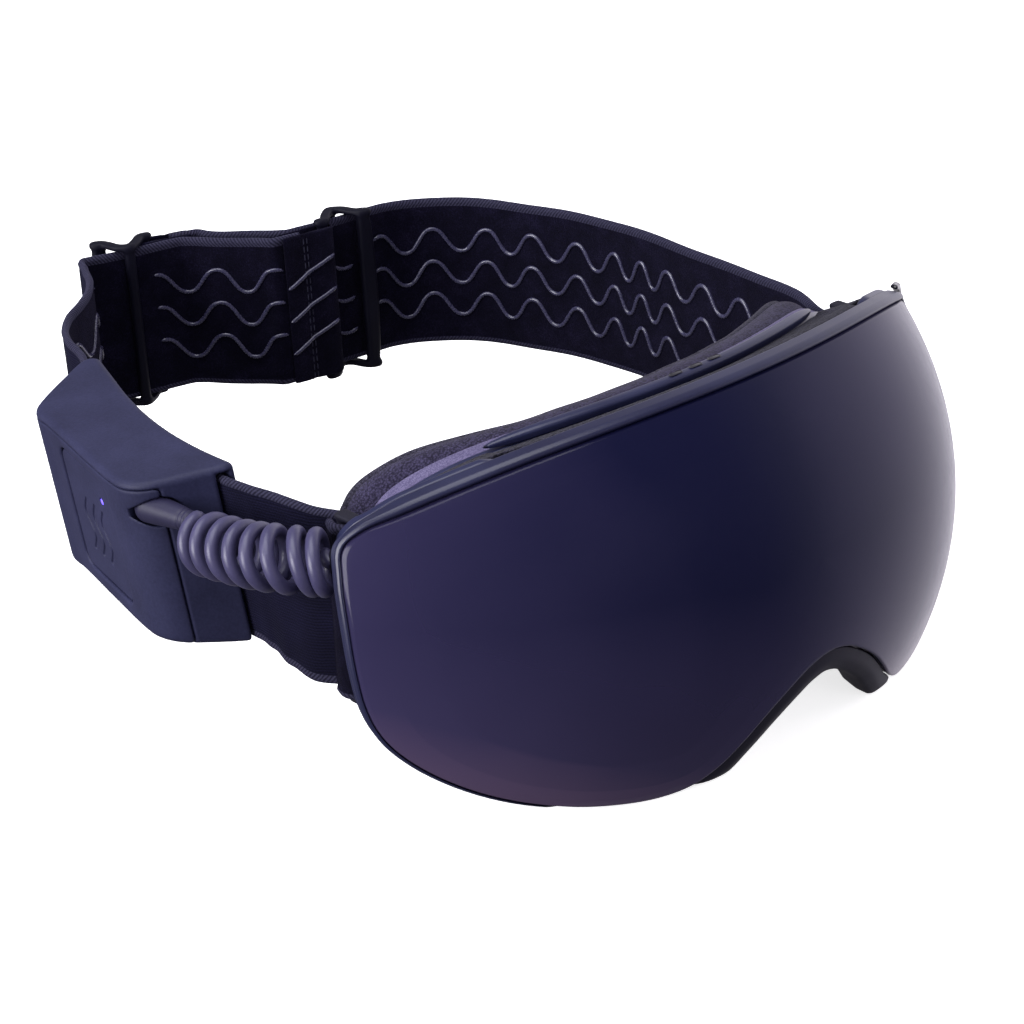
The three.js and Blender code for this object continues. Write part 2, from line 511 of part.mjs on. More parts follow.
// straight runs are kept exactly straight by inserting their end points twice as guides
function route(points, straight, count) {
  const c = new THREE.CatmullRomCurve3(points.map((q) => V3(q[0], q[1], 0)), false, 'centripetal');
  c.arcLengthDivisions = 1500;
  let pts = c.getSpacedPoints(count).map((q) => V2(q.x, q.y));
  for (const [s, u0, u1, v] of straight) {
    const d = dirOf(s);
    pts = pts.map((q) => {
      const dx = q.x - s.x, dy = q.y - s.y;
      const u = dx * d.x + dy * d.y;
      const w = dx * d.y - dy * d.x;          // toward the head
      if (u < u0 - 3 || u > u1 + 3 || Math.abs(w - v) > 3) return q;
      const k = smooth(Math.min((u - u0 + 3) / 3, (u1 + 3 - u) / 3));
      const e = along(s, u, lerp(w, v, k));
      return V2(e[0], e[1]);
    });
  }
  return pts;
}
const packLine = route(packPath, [[SL, -11, 12.5, 0], [SR, -BAR_END - 13.4, -BAR_END - 4, HEM_V]], 80);
const farLine = route(farPath, [[SR, -12.5, 12.5, 0], [SL, BAR_END + 4, BAR_END + 13.4, -HEM_V]], 62);

// the sewn loop that holds a strap's end on a bar
function loopShape(cx, cy, innerR, wall, seg = 14) {
  const s = new THREE.Shape(), h = new THREE.Path();
  const o = [], q = [];
  for (let k = 0; k < seg; k++) {
    const a = (2 * Math.PI * k) / seg;
    o.push(V2(cx + (innerR + wall) * Math.cos(a), cy + (innerR + wall) * Math.sin(a)));
    q.push(V2(cx + innerR * Math.cos(a), cy + innerR * Math.sin(a)));
  }
  s.setFromPoints(o); h.setFromPoints(q); s.holes.push(h);
  return s;
}
const STRAP_Z1 = STRAP_Z0 + STRAP_W;
function strapBody(line, sideSign) {
  const ax = sideSign * ANCHOR.x, ay = ANCHOR.y;
  let m = solid(prism(ribbonShape(line, STRAP_T / 2), STRAP_Z0, STRAP_Z1));
  m = m.add(solid(prism(loopShape(ax, ay, 2.0, 1.5), STRAP_Z0, STRAP_Z1)));
  m = m.subtract(solid(prism(loopShape(ax, ay, 0.001, 1.999), STRAP_Z0 - 1, STRAP_Z1 + 1)));
  return geo(m);
}
const knit = () => mat(0x14142a, 0.95);
add(datum, 'strap_pack_side', tidy(leanGeometry(strapBody(packLine, -1))), knit());
add(datum, 'strap_far_side', strapBody(farLine, 1), knit());

// ---------------------------------------------------------------- strap anchors on the frame
for (const side of [1, -1]) {
  const sx = (x) => side * x;
  const bar = new THREE.CylinderGeometry(1.55, 1.55, 42.6, 12);
  bar.rotateX(Math.PI / 2);
  bar.translate(sx(ANCHOR.x), ANCHOR.y, SEAT_Z);
  let m = solid(bar);
  for (const z of [61.05, 18.95]) {
    m = m.add(solid(boxAt(sx(ANCHOR.x), ANCHOR.y - 1.6, z, 3.4, 6.0, 1.3)));
  }
  add(datum, side > 0 ? 'strap_anchor_left' : 'strap_anchor_right', geo(m), mat(0x191926, 0.5));
}

// ---------------------------------------------------------------- sliders and their hems
function sliderGeometry() {
  const zc = SEAT_Z;
  const h = SLIDER_H / 2;
  const y0 = 2.15, yh = HEM_V;
  let m = solid(boxAt(-BAR_END, -yh, zc, 2.6, 2.2, SLIDER_H - 2));          // hem bar
  m = m.add(solid(boxAt(0, y0, zc, 2.6, 2.2, SLIDER_H - 2)));               // centre bar
  const bulge = new THREE.Shape([V2(4.4, zc - h + 1), V2(7.0, zc - h + 1), V2(8.2, zc - 12), V2(8.6, zc), V2(8.2, zc + 12), V2(7.0, zc + h - 1), V2(4.4, zc + h - 1)]);
  const rb = new THREE.ExtrudeGeometry(bulge, { depth: 2.4, bevelEnabled: false });
  rb.rotateX(Math.PI / 2);                                                   // shape's y becomes z
  rb.translate(0, -y0 - 0.7, 0);
  m = m.add(solid(rb));                                                      // outer bar
  // end plates: a wavy band joining the three bars above and below the strap
  const mid = spline2([[-BAR_END - 1.0, -yh], [-BAR_END + 0.8, -yh + 0.3], [-2.6, -0.4], [0, y0 - 0.2], [2.4, 0.9], [4.8, -y0 - 1.0], [7.0, -y0 - 2.1]], 16);
  const plate = ribbonShape(mid, 1.45);
  for (const [z0, z1] of [[zc + 20.45, zc + h], [zc - h, zc - 20.45]]) m = m.add(solid(prism(plate, z0, z1)));
  return geo(m);
}
function hemGeometry() {                          // round the hem bar, open toward the sewn strap
  const s = new THREE.Shape();
  const yc = -HEM_V, x0 = -BAR_END;
  const out = 2.6, inn = 1.45, end = x0 - 12.4;
  const pts = [V2(end, yc - out), V2(x0 + 0.4, yc - out)];
  for (let k = 1; k < 6; k++) { const a = -Math.PI / 2 + (Math.PI * k) / 6; pts.push(V2(x0 + 0.3 + 2.6 * Math.cos(a), yc + out * Math.sin(a))); }
  pts.push(V2(x0 + 0.4, yc + out), V2(end, yc + out), V2(end, yc + inn), V2(x0 + 1.1, yc + inn), V2(x0 + 1.7, yc + 0.8), V2(x0 + 1.7, yc - 0.8), V2(x0 + 1.1, yc - inn), V2(end, yc - inn));
  s.setFromPoints(pts);
  return prism(s, STRAP_Z0 + 0.1, STRAP_Z1 - 0.1);
}
for (const [s, flip, tag] of [[SR, false, 'far'], [SL, true, 'pack']]) {
  const g = new THREE.Group();
  g.position.set(s.x, s.y, 0);
  g.rotation.z = THREE.MathUtils.degToRad(s.a + (flip ? 180 : 0));
  datum.add(g);
  add(g, `slider_${tag}_side`, sliderGeometry(), mat(0x15151f, 0.6));
  add(g, `strap_hem_${tag}_side`, hemGeometry(), knit());
}

// ---------------------------------------------------------------- battery pack
const arcPts = (cx, cy, r, a0, a1, n) => Array.from({ length: n + 1 }, (_, k) => {
  const a = THREE.MathUtils.degToRad(lerp(a0, a1, k / n));
  return [cx + r * Math.cos(a), cy + r * Math.sin(a)];
});
const innerSpline = spline2([[-72.6, 99.0], [-72.6, 106], [-72.2, 114], [-71.2, 123], [-69.1, 134], [-65.8, 146], [-61.8, 157.5], [-58.4, 167.2]], 14).map((v) => [v.x, v.y]);
const packOutline = [
  ...innerSpline,
  [-59.2, 169.2], [-61.2, 169.9],
  [-78.6, 161.6], [-81.6, 159.4], [-83.4, 156.4], [-83.9, 152.5],
  [-91.9, 116.0], [-92.2, 112.4], [-91.2, 108.9], [-88.8, 106.0], [-86.0, 104.2],
  [-74.8, 97.9], [-73.2, 98.0]];
const packShape = new THREE.Shape(packOutline.map((q) => V2(...toPack(q))).reverse());
const Z0 = PACK_Z0 - SEAT_Z, Z1 = PACK_Z1 - SEAT_Z;
const BASE_SLOPE = 0.26;              // the underside rises toward the outer face
const baseZ = (v) => Z0 + (v + 19) * BASE_SLOPE;
const wedge = boxAt(0, 0, -10, 120, 60, 20);
wedge.rotateX(Math.atan(BASE_SLOPE));
wedge.translate(0, -9.5, baseZ(-9.5));
const packBlock = solid(prism(packShape, Z0, Z1, { bevel: 1.3, bevelSegments: 2 })).subtract(solid(wedge));
const seam = [[-86.4, 92], [-87.1, 103.6], [-87.6, 107.4], [-88.5, 110.6], [-89.1, 113.6], [-88.9, 116.6],
  [-81.0, 152.6], [-80.2, 155.6], [-77.6, 158.2], [-76.0, 166]];
const around = [[-84, 178], [-112, 160], [-112, 100], [-90, 86]];
const bandShape = (d) => {
  const s = offsetLine(seam.map((q) => V2(...q)), -d).map((v) => [v.x, v.y]);
  return new THREE.Shape([...s, ...around].map((q) => V2(...toPack(q))));
};
const lidZ = Z1 - 1.7;
const outerRegion = solid(prism(bandShape(0), Z0 - 3, lidZ));
const outerRegionWide = solid(prism(bandShape(0.3), Z0 - 4, lidZ + 0.3));
const slotRoute = spline2([[-75.5, 88], ...routeInPack, [-56.6, 180]], 26);
const slot = solid(prism(ribbonShape(slotRoute.map((v) => V2(...toPack([v.x, v.y]))), 1.55), -20.6, 20.6));
const cavInner = offsetLine(innerSpline.map((q) => V2(...q)), 5.9).map((v) => [v.x, v.y]).filter(([, y]) => y > 108 && y < 161);
const cavShape = new THREE.Shape([...cavInner, [-78.2, 157.6], [-96, 156], [-96, 110.6], [-84.6, 110.2]].map((q) => V2(...toPack(q))));
const cavity = solid(prism(cavShape, Z0 + 6.4, Z1 - 2.7));

const reliefAxis0 = toPack([-88.2, 112.0]), reliefAxis1 = toPack([-86.6, 95.4]);
const RELIEF_Z = 15.0;
function coneBetween(a, b, ra, rb, n = 14) {    // a, b: Vector3
  const g = new THREE.CylinderGeometry(rb, ra, a.distanceTo(b), n);
  const q = new THREE.Quaternion().setFromUnitVectors(V3(0, 1, 0), b.clone().sub(a).normalize());
  g.applyQuaternion(q);
  const c = a.clone().add(b).multiplyScalar(0.5);
  g.translate(c.x, c.y, c.z);
  return g;
}
const rA = V3(reliefAxis0[0], reliefAxis0[1], RELIEF_Z), rB = V3(reliefAxis1[0], reliefAxis1[1], RELIEF_Z);
const reliefHole = solid(coneBetween(rA, rB, 4.2, 3.6));
// charge port pocket in the underside
const PORT_U = 6.0, PORT_V = -9.6;
const portM = new THREE.Matrix4().makeTranslation(PORT_U, PORT_V, baseZ(PORT_V))
  .multiply(new THREE.Matrix4().makeRotationX(Math.atan(BASE_SLOPE)));
const pocket = solid(boxAt(0, 0, 0, 14.2, 7.4, 3.4).applyMatrix4(portM));
const portHole = solid(boxAt(0, 0, 3, 9.8, 4.0, 12).applyMatrix4(portM));
const innerShell = packBlock.subtract(outerRegionWide).subtract(slot).subtract(cavity).subtract(pocket).subtract(portHole).subtract(reliefHole);
const shellMat = () => mat(0x2c2d45, 0.55);
add(packAxes, 'pack_inner_shell', geo(innerShell), shellMat());

// outer cover, a window for the press panel and a passage for the strain relief
const BTN_W = 27, BTN_H = 30, BTN_Z = 3.0, BTN_U = 0.0;
const upright = (shape, y0, y1) => {            // shape in (u, z), extruded across the wall
  const g = new THREE.ExtrudeGeometry(shape, { depth: y1 - y0, bevelEnabled: false });
  g.rotateX(Math.PI / 2);
  g.translate(0, y1, 0);
  return tidy(g);
};
const windowCut = upright(rectShape(BTN_W, BTN_H, 3.2), -1.6, 1.5);
windowCut.translate(BTN_U, 0, BTN_Z);
const flangeCut = upright(rectShape(BTN_W + 2.8, BTN_H + 2.8, 3.8), -6, -1.5);
flangeCut.translate(BTN_U, 0, BTN_Z);
let outerShell = packBlock.intersect(outerRegion).subtract(solid(windowCut)).subtract(solid(flangeCut)).subtract(reliefHole);
const parts = outerShell.decompose();
outerShell = parts.reduce((a, b) => (a.volume() > b.volume() ? a : b));
add(packAxes, 'pack_outer_shell', geo(outerShell), shellMat());
{
  const face = upright(rectShape(BTN_W - 0.7, BTN_H - 0.7, 3.0), -2.0, -0.7);
  const flange = upright(rectShape(BTN_W + 1.8, BTN_H + 1.8, 3.6), -2.9, -1.9);
  let m = solid(face).add(solid(flange));
  const bore = new THREE.CylinderGeometry(1.0, 1.0, 6, 10);
  bore.translate(BTN_U - 7.0, -1.6, 8.5);
  m = m.subtract(solid(bore));
  const post = new THREE.CylinderGeometry(1.5, 1.5, 1.2, 10);
  post.translate(0, -3.4, 0);
  m = m.add(solid(post));
  const g = geo(m);
  g.translate(BTN_U, 0, BTN_Z);
  add(packAxes, 'power_button', g, mat(0x2a2b42, 0.5));
  const led = new THREE.CylinderGeometry(0.7, 0.7, 2.0, 10);
  led.translate(BTN_U - 7.0, -1.85, BTN_Z + 8.5);
  add(packAxes, 'status_led', tidy(led), mat(0x5a4cff, 0.2, 0, { emissive: 0x4438ff }));
}
add(packAxes, 'circuit_board', boxAt(0.5, -7.5, 4.2, 33, 1.2, 26), mat(0x1d4a2c, 0.6));
{
  let m = solid(boxAt(0, -6.2, BTN_Z, 5, 0.8, 5));
  const stem = new THREE.CylinderGeometry(1.1, 1.1, 0.9, 10);
  stem.translate(0, -5.5, BTN_Z);
  add(packAxes, 'tact_switch', geo(m.add(solid(stem))), mat(0x0c0c0e, 0.4));
}
const cellLine = offsetLine(innerSpline.map((q) => V2(...q)), 7.6).filter((v) => v.y > 112.5 && v.y < 153);
add(packAxes, 'battery_cell', prism(ribbonShape(cellLine.map((v) => V2(...toPack([v.x, v.y]))), 1.4), -8.0, 16.5), mat(0x8d8f95, 0.4, 0.5));
{
  const outer = solid(prism(rectShape(9.0, 3.2, 1.5, 4), 0, 6.8));
  const inner = solid(prism(rectShape(8.3, 2.5, 1.2, 4), -1, 5.6));
  let m = outer.subtract(inner);
  m = m.add(solid(boxAt(0, 0, 3.4, 6.4, 0.7, 5.4)));
  const g = geo(m);
  g.translate(0, 0, 2.0);
  g.applyMatrix4(portM);
  add(packAxes, 'charge_port', g, mat(0xb8bac0, 0.3, 0.9));
}
{
  add(packAxes, 'charge_port_cover', boxAt(0, 0, 0.75, 13.0, 6.2, 1.1).applyMatrix4(portM), mat(0x14141c, 0.8));
}
const relief = coneBetween(rA.clone().lerp(rB, 0.06), rB, 3.5, 2.5, 14);
add(packAxes, 'cable_strain_relief', tidy(relief), mat(0x2a2a40, 0.6));

// ---------------------------------------------------------------- coiled lead
packTilt.updateMatrix(); packAxes.updateMatrix();
const packM = new THREE.Matrix4().multiplyMatrices(packTilt.matrix, packAxes.matrix);
const exitP = rB.clone().applyMatrix4(packM);
const exitD = rB.clone().applyMatrix4(packM).sub(rA.clone().applyMatrix4(packM)).normalize();
// the cord enters the frame through a grommet on its drawn-in side wall
const GLAND = V3(-81.7, 58.4, 55.6), glandN = V3(-0.77, 0.64, 0).normalize();
const coilA = V3(-89.1, 92.4, 51.4);
const coilB = GLAND.clone().add(glandN.clone().multiplyScalar(1.9));
function tube(points, r, sides, steps) {
  const ring = [];
  for (let k = 0; k < sides; k++) { const a = (2 * Math.PI * k) / sides; ring.push(V2(r * Math.cos(a), r * Math.sin(a))); }
  const path = new THREE.CatmullRomCurve3(points, false, 'centripetal');
  return tidy(new THREE.ExtrudeGeometry(new THREE.Shape(ring), { steps, extrudePath: path, bevelEnabled: false, curveSegments: sides }));
}
// a round bar of varying radius along a curve
function roundBar(points, radius, sides, steps) {
  const path = new THREE.CatmullRomCurve3(points, false, 'centripetal');
  const fr = path.computeFrenetFrames(steps, false);
  return polyBar(steps, (k) => {
    const c = path.getPointAt(k / steps), r = radius(k / steps);
    return Array.from({ length: sides }, (_, j) => {
      const a = (-2 * Math.PI * j) / sides;
      return [c.x + r * (Math.cos(a) * fr.normals[k].x + Math.sin(a) * fr.binormals[k].x),
        c.y + r * (Math.cos(a) * fr.normals[k].y + Math.sin(a) * fr.binormals[k].y),
        c.z + r * (Math.cos(a) * fr.normals[k].z + Math.sin(a) * fr.binormals[k].z)];
    });
  });
}
const coilPath = [coilA, V3(-89.5, 83.2, 53.0), V3(-89.3, 73.8, 54.7), V3(-87.4, 65.8, 55.8), coilB];
add(datum, 'coiled_cord', roundBar(coilPath, (t) => COIL_OD / 2 - 3.0 * smooth((t - 0.66) / 0.34), 12, 8), mat(0x3a3858, 0.45));
{
  const a = exitP.clone().add(exitD.clone().multiplyScalar(1.5).add(V3(-0.35, 0, 0.2)));
  const n = coilPath[1].clone().sub(coilA).normalize();
  const top = coilA.clone().sub(n.clone().multiplyScalar(1.5)).add(V3(0.3, 1.3, 4.1));
  add(datum, 'cord_lead_pack', tube([a, top], CORD_D / 2 - 0.35, 8, 1), mat(0x3a3858, 0.45));
}
{
  const g = new THREE.CylinderGeometry(2.4, 2.9, 1.5, 12);
  g.applyQuaternion(new THREE.Quaternion().setFromUnitVectors(V3(0, 1, 0), glandN));
  g.translate(GLAND.x, GLAND.y, GLAND.z);
  add(datum, 'cable_gland', tidy(g), mat(0x14141c, 0.6));
}

export default goggles;
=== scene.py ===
"""Ski goggles with a heater pack: the visual model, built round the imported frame.
Lengths in the helpers are millimetres in a datum frame (x to the wearer's left, y backward from the
foremost lens point, z up from the lens's lowest edge); W() takes them to the row frame in metres."""

import math

import bpy
import numpy as np
import openvdb
from mathutils import Matrix, Vector


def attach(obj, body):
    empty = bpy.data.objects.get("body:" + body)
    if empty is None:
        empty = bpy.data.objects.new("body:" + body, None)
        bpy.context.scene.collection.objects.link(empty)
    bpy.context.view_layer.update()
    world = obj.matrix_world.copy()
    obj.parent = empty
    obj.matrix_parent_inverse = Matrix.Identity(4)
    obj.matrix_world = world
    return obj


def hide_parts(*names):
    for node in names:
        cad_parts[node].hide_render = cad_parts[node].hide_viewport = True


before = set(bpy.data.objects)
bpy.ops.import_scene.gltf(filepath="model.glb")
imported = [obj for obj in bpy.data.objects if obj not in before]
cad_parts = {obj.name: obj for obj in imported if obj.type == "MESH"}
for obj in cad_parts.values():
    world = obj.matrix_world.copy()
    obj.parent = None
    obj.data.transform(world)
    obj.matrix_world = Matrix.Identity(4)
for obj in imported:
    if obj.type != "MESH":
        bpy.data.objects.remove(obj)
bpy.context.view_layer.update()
scene = bpy.context.scene
MM = 0.001
DATUM = np.array([0.0, 52.0, 40.0])


def W(v):
    return (np.asarray(v, float) - DATUM) * MM


def lerp(a, b, t):
    return a + (b - a) * t


def clamp(v, a=0.0, b=1.0):
    return np.clip(v, a, b)


def smooth(v):
    t = np.clip(v, 0.0, 1.0)
    return t * t * (3 - 2 * t)


# ------------------------------------------------------------------ camera
cam_data = bpy.data.cameras.new("camera")
cam_data.sensor_width = 36.0
cam_data.lens = 101.9
cam_data.clip_start = 0.01
cam_data.clip_end = 20.0
cam = bpy.data.objects.new("camera", cam_data)
scene.collection.objects.link(cam)
right, up, fwd = (0.73945, -0.67117, -0.05230), (0.32776, 0.29107, 0.89881), (0.58803, 0.68177, -0.43522)
pos = (-0.39034, -0.40635, 0.27286)
cam.matrix_world = Matrix((
    (right[0], up[0], -fwd[0], pos[0]),
    (right[1], up[1], -fwd[1], pos[1]),
    (right[2], up[2], -fwd[2], pos[2]),
    (0, 0, 0, 1)))
scene.camera = cam


# ------------------------------------------------------------------ materials
class Nodes:
    """A small builder of node materials. Positions are the mesh's own coordinates in millimetres."""

    def __init__(self, name):
        self.mat = bpy.data.materials.new(name)
        self.mat.use_nodes = True
        self.nt = self.mat.node_tree
        self.nt.nodes.clear()
        self.out = self.nt.nodes.new("ShaderNodeOutputMaterial")
        self.bsdf = self.nt.nodes.new("ShaderNodeBsdfPrincipled")
        self.nt.links.new(self.bsdf.outputs[0], self.out.inputs[0])
        tc = self.nt.nodes.new("ShaderNodeTexCoord")
        self.mm = self.vmath("SCALE", tc.outputs["Object"], scale=1000.0)
        self.tc = tc

    def set(self, **values):
        for k, v in values.items():
            self.bsdf.inputs[k.replace("_", " ")].default_value = v
        return self

    def link(self, a, b):
        self.nt.links.new(a, b)

    def vmath(self, op, a, b=None, scale=None):
        n = self.nt.nodes.new("ShaderNodeVectorMath")
        n.operation = op
        self._in(n.inputs[0], a)
        if b is not None:
            self._in(n.inputs[1], b)
        if scale is not None:
            n.inputs["Scale"].default_value = scale
        return n.outputs[0]

    def _in(self, socket, v):
        if isinstance(v, bpy.types.NodeSocket):
            self.nt.links.new(v, socket)
        elif v is not None:
            socket.default_value = v

    def math(self, op, a, b=None, c=None, clamp=False):
        n = self.nt.nodes.new("ShaderNodeMath")
        n.operation = op
        n.use_clamp = clamp
        for s, v in zip(n.inputs, (a, b, c)):
            self._in(s, v)
        return n.outputs[0]

    def noise(self, scale, detail=3.0, rough=0.55, vec=None, stretch=None):
        v = self.mm if vec is None else vec
        if stretch is not None:
            v = self.vmath("MULTIPLY", v, stretch)
        n = self.nt.nodes.new("ShaderNodeTexNoise")
        n.inputs["Scale"].default_value = scale
        n.inputs["Detail"].default_value = detail
        n.inputs["Roughness"].default_value = rough
        self.link(v, n.inputs["Vector"])
        return n.outputs["Fac"]

    def cells(self, scale, feature="F1", vec=None, out="Distance", randomness=1.0):
        n = self.nt.nodes.new("ShaderNodeTexVoronoi")
        n.feature = feature
        n.inputs["Scale"].default_value = scale
        n.inputs["Randomness"].default_value = randomness
        self.link(self.mm if vec is None else vec, n.inputs["Vector"])
        return n.outputs[out]

    def ramp(self, fac, stops):
        n = self.nt.nodes.new("ShaderNodeValToRGB")
        e = n.color_ramp.elements
        while len(e) < len(stops):
            e.new(0.5)
        for el, (p, c) in zip(e, stops):
            el.position = p
            el.color = (*c, 1.0) if len(c) == 3 else c
        self.link(fac, n.inputs[0])
        return n.outputs[0]

    def mix(self, fac, a, b):
        n = self.nt.nodes.new("ShaderNodeMix")
        n.data_type = "RGBA"
        self._in(n.inputs[0], fac)
        self._in(n.inputs[6], a if isinstance(a, bpy.types.NodeSocket) else (*a, 1.0))
        self._in(n.inputs[7], b if isinstance(b, bpy.types.NodeSocket) else (*b, 1.0))
        return n.outputs[2]

    def map(self, v, a, b, c, d):
        n = self.nt.nodes.new("ShaderNodeMapRange")
        self._in(n.inputs[0], v)
        for k, x in zip((1, 2, 3, 4), (a, b, c, d)):
            n.inputs[k].default_value = x
        return n.outputs[0]

    def color(self, socket):
        self._in(self.bsdf.inputs["Base Color"], socket)
        return self

    def rough(self, socket):
        self._in(self.bsdf.inputs["Roughness"], socket)
        return self

    def bump(self, height, dist_mm, strength=1.0, normal=None):
        n = self.nt.nodes.new("ShaderNodeBump")
        n.inputs["Strength"].default_value = strength
        n.inputs["Distance"].default_value = dist_mm * MM
        self.link(height, n.inputs["Height"])
        if normal is not None:
            self.link(normal, n.inputs["Normal"])
        self.link(n.outputs[0], self.bsdf.inputs["Normal"])
        return n.outputs[0]

    def uv(self):
        s = self.nt.nodes.new("ShaderNodeSeparateXYZ")
        self.link(self.tc.outputs["UV"], s.inputs[0])
        return s.outputs[0], s.outputs[1]

    def xyz(self):
        s = self.nt.nodes.new("ShaderNodeSeparateXYZ")
        self.link(self.mm, s.inputs[0])
        return s.outputs[0], s.outputs[1], s.outputs[2]


def moulded(name, dark, light, rough=0.5, grain=0.03, scale=2.4, spec=0.35, sheen=0.0, coat=0.0):
    """A moulded plastic: fine spark-eroded grain, slow colour drift, faintly polished high spots."""
    m = Nodes(name)
    slow = m.noise(0.05, 3.0)
    fine = m.noise(scale, 4.0, 0.6)
    speck = m.noise(scale * 2.7, 2.0, 0.5)
    tone = m.math("ADD", m.math("MULTIPLY", slow, 0.6), m.math("MULTIPLY", fine, 0.4))
    m.color(m.ramp(tone, [(0.32, dark), (0.68, light)]))
    m.rough(m.map(m.math("ADD", m.math("MULTIPLY", slow, 0.5), m.math("MULTIPLY", speck, 0.5)), 0.3, 0.7, rough - 0.06, rough + 0.07))
    m.bump(m.math("ADD", fine, m.math("MULTIPLY", speck, 0.5)), grain, 0.8)
    m.set(Specular_IOR_Level=spec)
    if sheen:
        m.set(Sheen_Weight=sheen, Sheen_Roughness=0.5)
        m.bsdf.inputs["Sheen Tint"].default_value = (0.62, 0.6, 1.0, 1.0)
    if coat:
        m.set(Coat_Weight=coat, Coat_Roughness=0.25)
    return m.mat


def foam(name, dark, light, cell=1.6, depth=0.22, rough=0.95, speck=None):
    """Open-cell foam: irregular pores of two sizes."""
    m = Nodes(name)
    a = m.cells(cell)
    b = m.cells(cell * 2.3)
    n = m.noise(0.35, 3.0)
    pores = m.math("ADD", m.math("MULTIPLY", a, 0.65), m.math("MULTIPLY", b, 0.35))
    tone = m.math("ADD", m.map(pores, 0.15, 0.75, 0.15, 0.95), m.math("MULTIPLY", m.math("SUBTRACT", n, 0.5), 0.5))
    stops = [(0.2, light), (0.85, dark)]
    col = m.ramp(tone, stops)
    if speck is not None:
        s = m.noise(3.2, 2.0, 0.7)
        col = m.mix(m.map(s, 0.6, 0.72, 0.0, 0.8), col, speck)
    m.color(col)
    m.bump(m.math("SUBTRACT", 1.0, pores), depth, 1.0)
    m.set(Roughness=rough, Specular_IOR_Level=0.08, Sheen_Weight=0.05, Sheen_Roughness=0.6)
    return m.mat


# knitted strap, outer face: fine ribs along the strap, crossed by a slanting twill
def knit_outer():
    m = Nodes("strap_knit_outer")
    u, v = m.uv()
    wob = m.math("MULTIPLY", m.math("SUBTRACT", m.noise(0.5, 2.0), 0.5), 0.5)
    rib = m.math("SINE", m.math("MULTIPLY", m.math("ADD", m.math("ADD", v, m.math("MULTIPLY", u, 0.10)), wob), 2 * math.pi / 0.68))
    pick = m.math("SINE", m.math("MULTIPLY", m.math("ADD", u, m.math("MULTIPLY", v, 0.55)), 2 * math.pi / 0.74))
    h = m.math("ADD", m.math("MULTIPLY", rib, 0.34), m.math("MULTIPLY", m.math("MULTIPLY", pick, rib), 0.2))
    h = m.math("ADD", h, m.math("MULTIPLY", m.noise(3.5, 3.0, 0.7), 0.5))
    slow = m.noise(0.09, 3.0)
    tone = m.math("ADD", m.math("MULTIPLY", h, 0.42), m.math("MULTIPLY", slow, 0.5))
    m.color(m.ramp(tone, [(0.1, (0.0012, 0.0010, 0.0055)), (0.5, (0.0038, 0.0033, 0.0150)), (0.85, (0.014, 0.013, 0.044))]))
    m.bump(h, 0.14, 1.0)
    m.set(Roughness=0.85, Specular_IOR_Level=0.10, Sheen_Weight=0.05, Sheen_Roughness=0.4)
    m.bsdf.inputs["Sheen Tint"].default_value = (0.35, 0.38, 0.8, 1.0)
    return m.mat


# brushed inner face: short fuzz with a slow mottle
def knit_inner():
    m = Nodes("strap_brushed_inner")
    fuzz = m.noise(2.6, 5.0, 0.75)
    fine = m.noise(7.0, 2.0, 0.6)
    slow = m.noise(0.16, 3.0)
    tone = m.math("ADD", m.math("MULTIPLY", fuzz, 0.7), m.math("MULTIPLY", slow, 0.3))
    m.color(m.ramp(tone, [(0.38, (0.0008, 0.0006, 0.0030)), (0.52, (0.0026, 0.0021, 0.0085)), (0.68, (0.012, 0.010, 0.029))]))
    m.bump(m.math("ADD", fuzz, m.math("MULTIPLY", fine, 0.5)), 0.30, 1.0)
    m.set(Roughness=0.95, Specular_IOR_Level=0.05, Sheen_Weight=0.04, Sheen_Roughness=0.55)
    m.bsdf.inputs["Sheen Tint"].default_value = (0.5, 0.47, 0.75, 1.0)
    return m.mat


def knit_edge():
    m = Nodes("strap_bound_edge")
    u, v = m.uv()
    twist = m.math("SINE", m.math("MULTIPLY", m.math("ADD", u, m.math("MULTIPLY", v, 0.8)), 2 * math.pi / 0.9))
    n = m.noise(3.0, 3.0)
    h = m.math("ADD", m.math("MULTIPLY", twist, 0.3), n)
    m.color(m.ramp(h, [(0.2, (0.006, 0.0055, 0.015)), (0.85, (0.034, 0.032, 0.062))]))
    m.bump(h, 0.10, 1.0)
    m.set(Roughness=0.8, Specular_IOR_Level=0.12, Sheen_Weight=0.08, Sheen_Roughness=0.4)
    m.bsdf.inputs["Sheen Tint"].default_value = (0.5, 0.5, 0.85, 1.0)
    return m.mat


def silicone():
    m = Nodes("silicone_bead")
    n = m.noise(1.2, 3.0)
    m.color(m.ramp(n, [(0.3, (0.022, 0.021, 0.050)), (0.7, (0.044, 0.042, 0.085))]))
    m.rough(m.map(m.noise(2.2, 2.0), 0.3, 0.7, 0.18, 0.34))
    m.bump(m.noise(1.4, 3.0), 0.10, 0.7)
    m.set(Specular_IOR_Level=0.55, Coat_Weight=0.25, Coat_Roughness=0.2)
    return m.mat


def thread():
    m = Nodes("stitch_thread")
    u, v, w = m.xyz()
    t = m.math("SINE", m.math("MULTIPLY", m.math("ADD", w, m.math("MULTIPLY", u, 0.9)), 2 * math.pi / 0.35))
    m.color(m.ramp(m.math("ADD", m.math("MULTIPLY", t, 0.3), m.noise(2.0)), [(0.2, (0.008, 0.008, 0.02)), (0.8, (0.03, 0.03, 0.06))]))
    m.bump(t, 0.05, 0.8)
    m.set(Roughness=0.7, Specular_IOR_Level=0.25)
    return m.mat


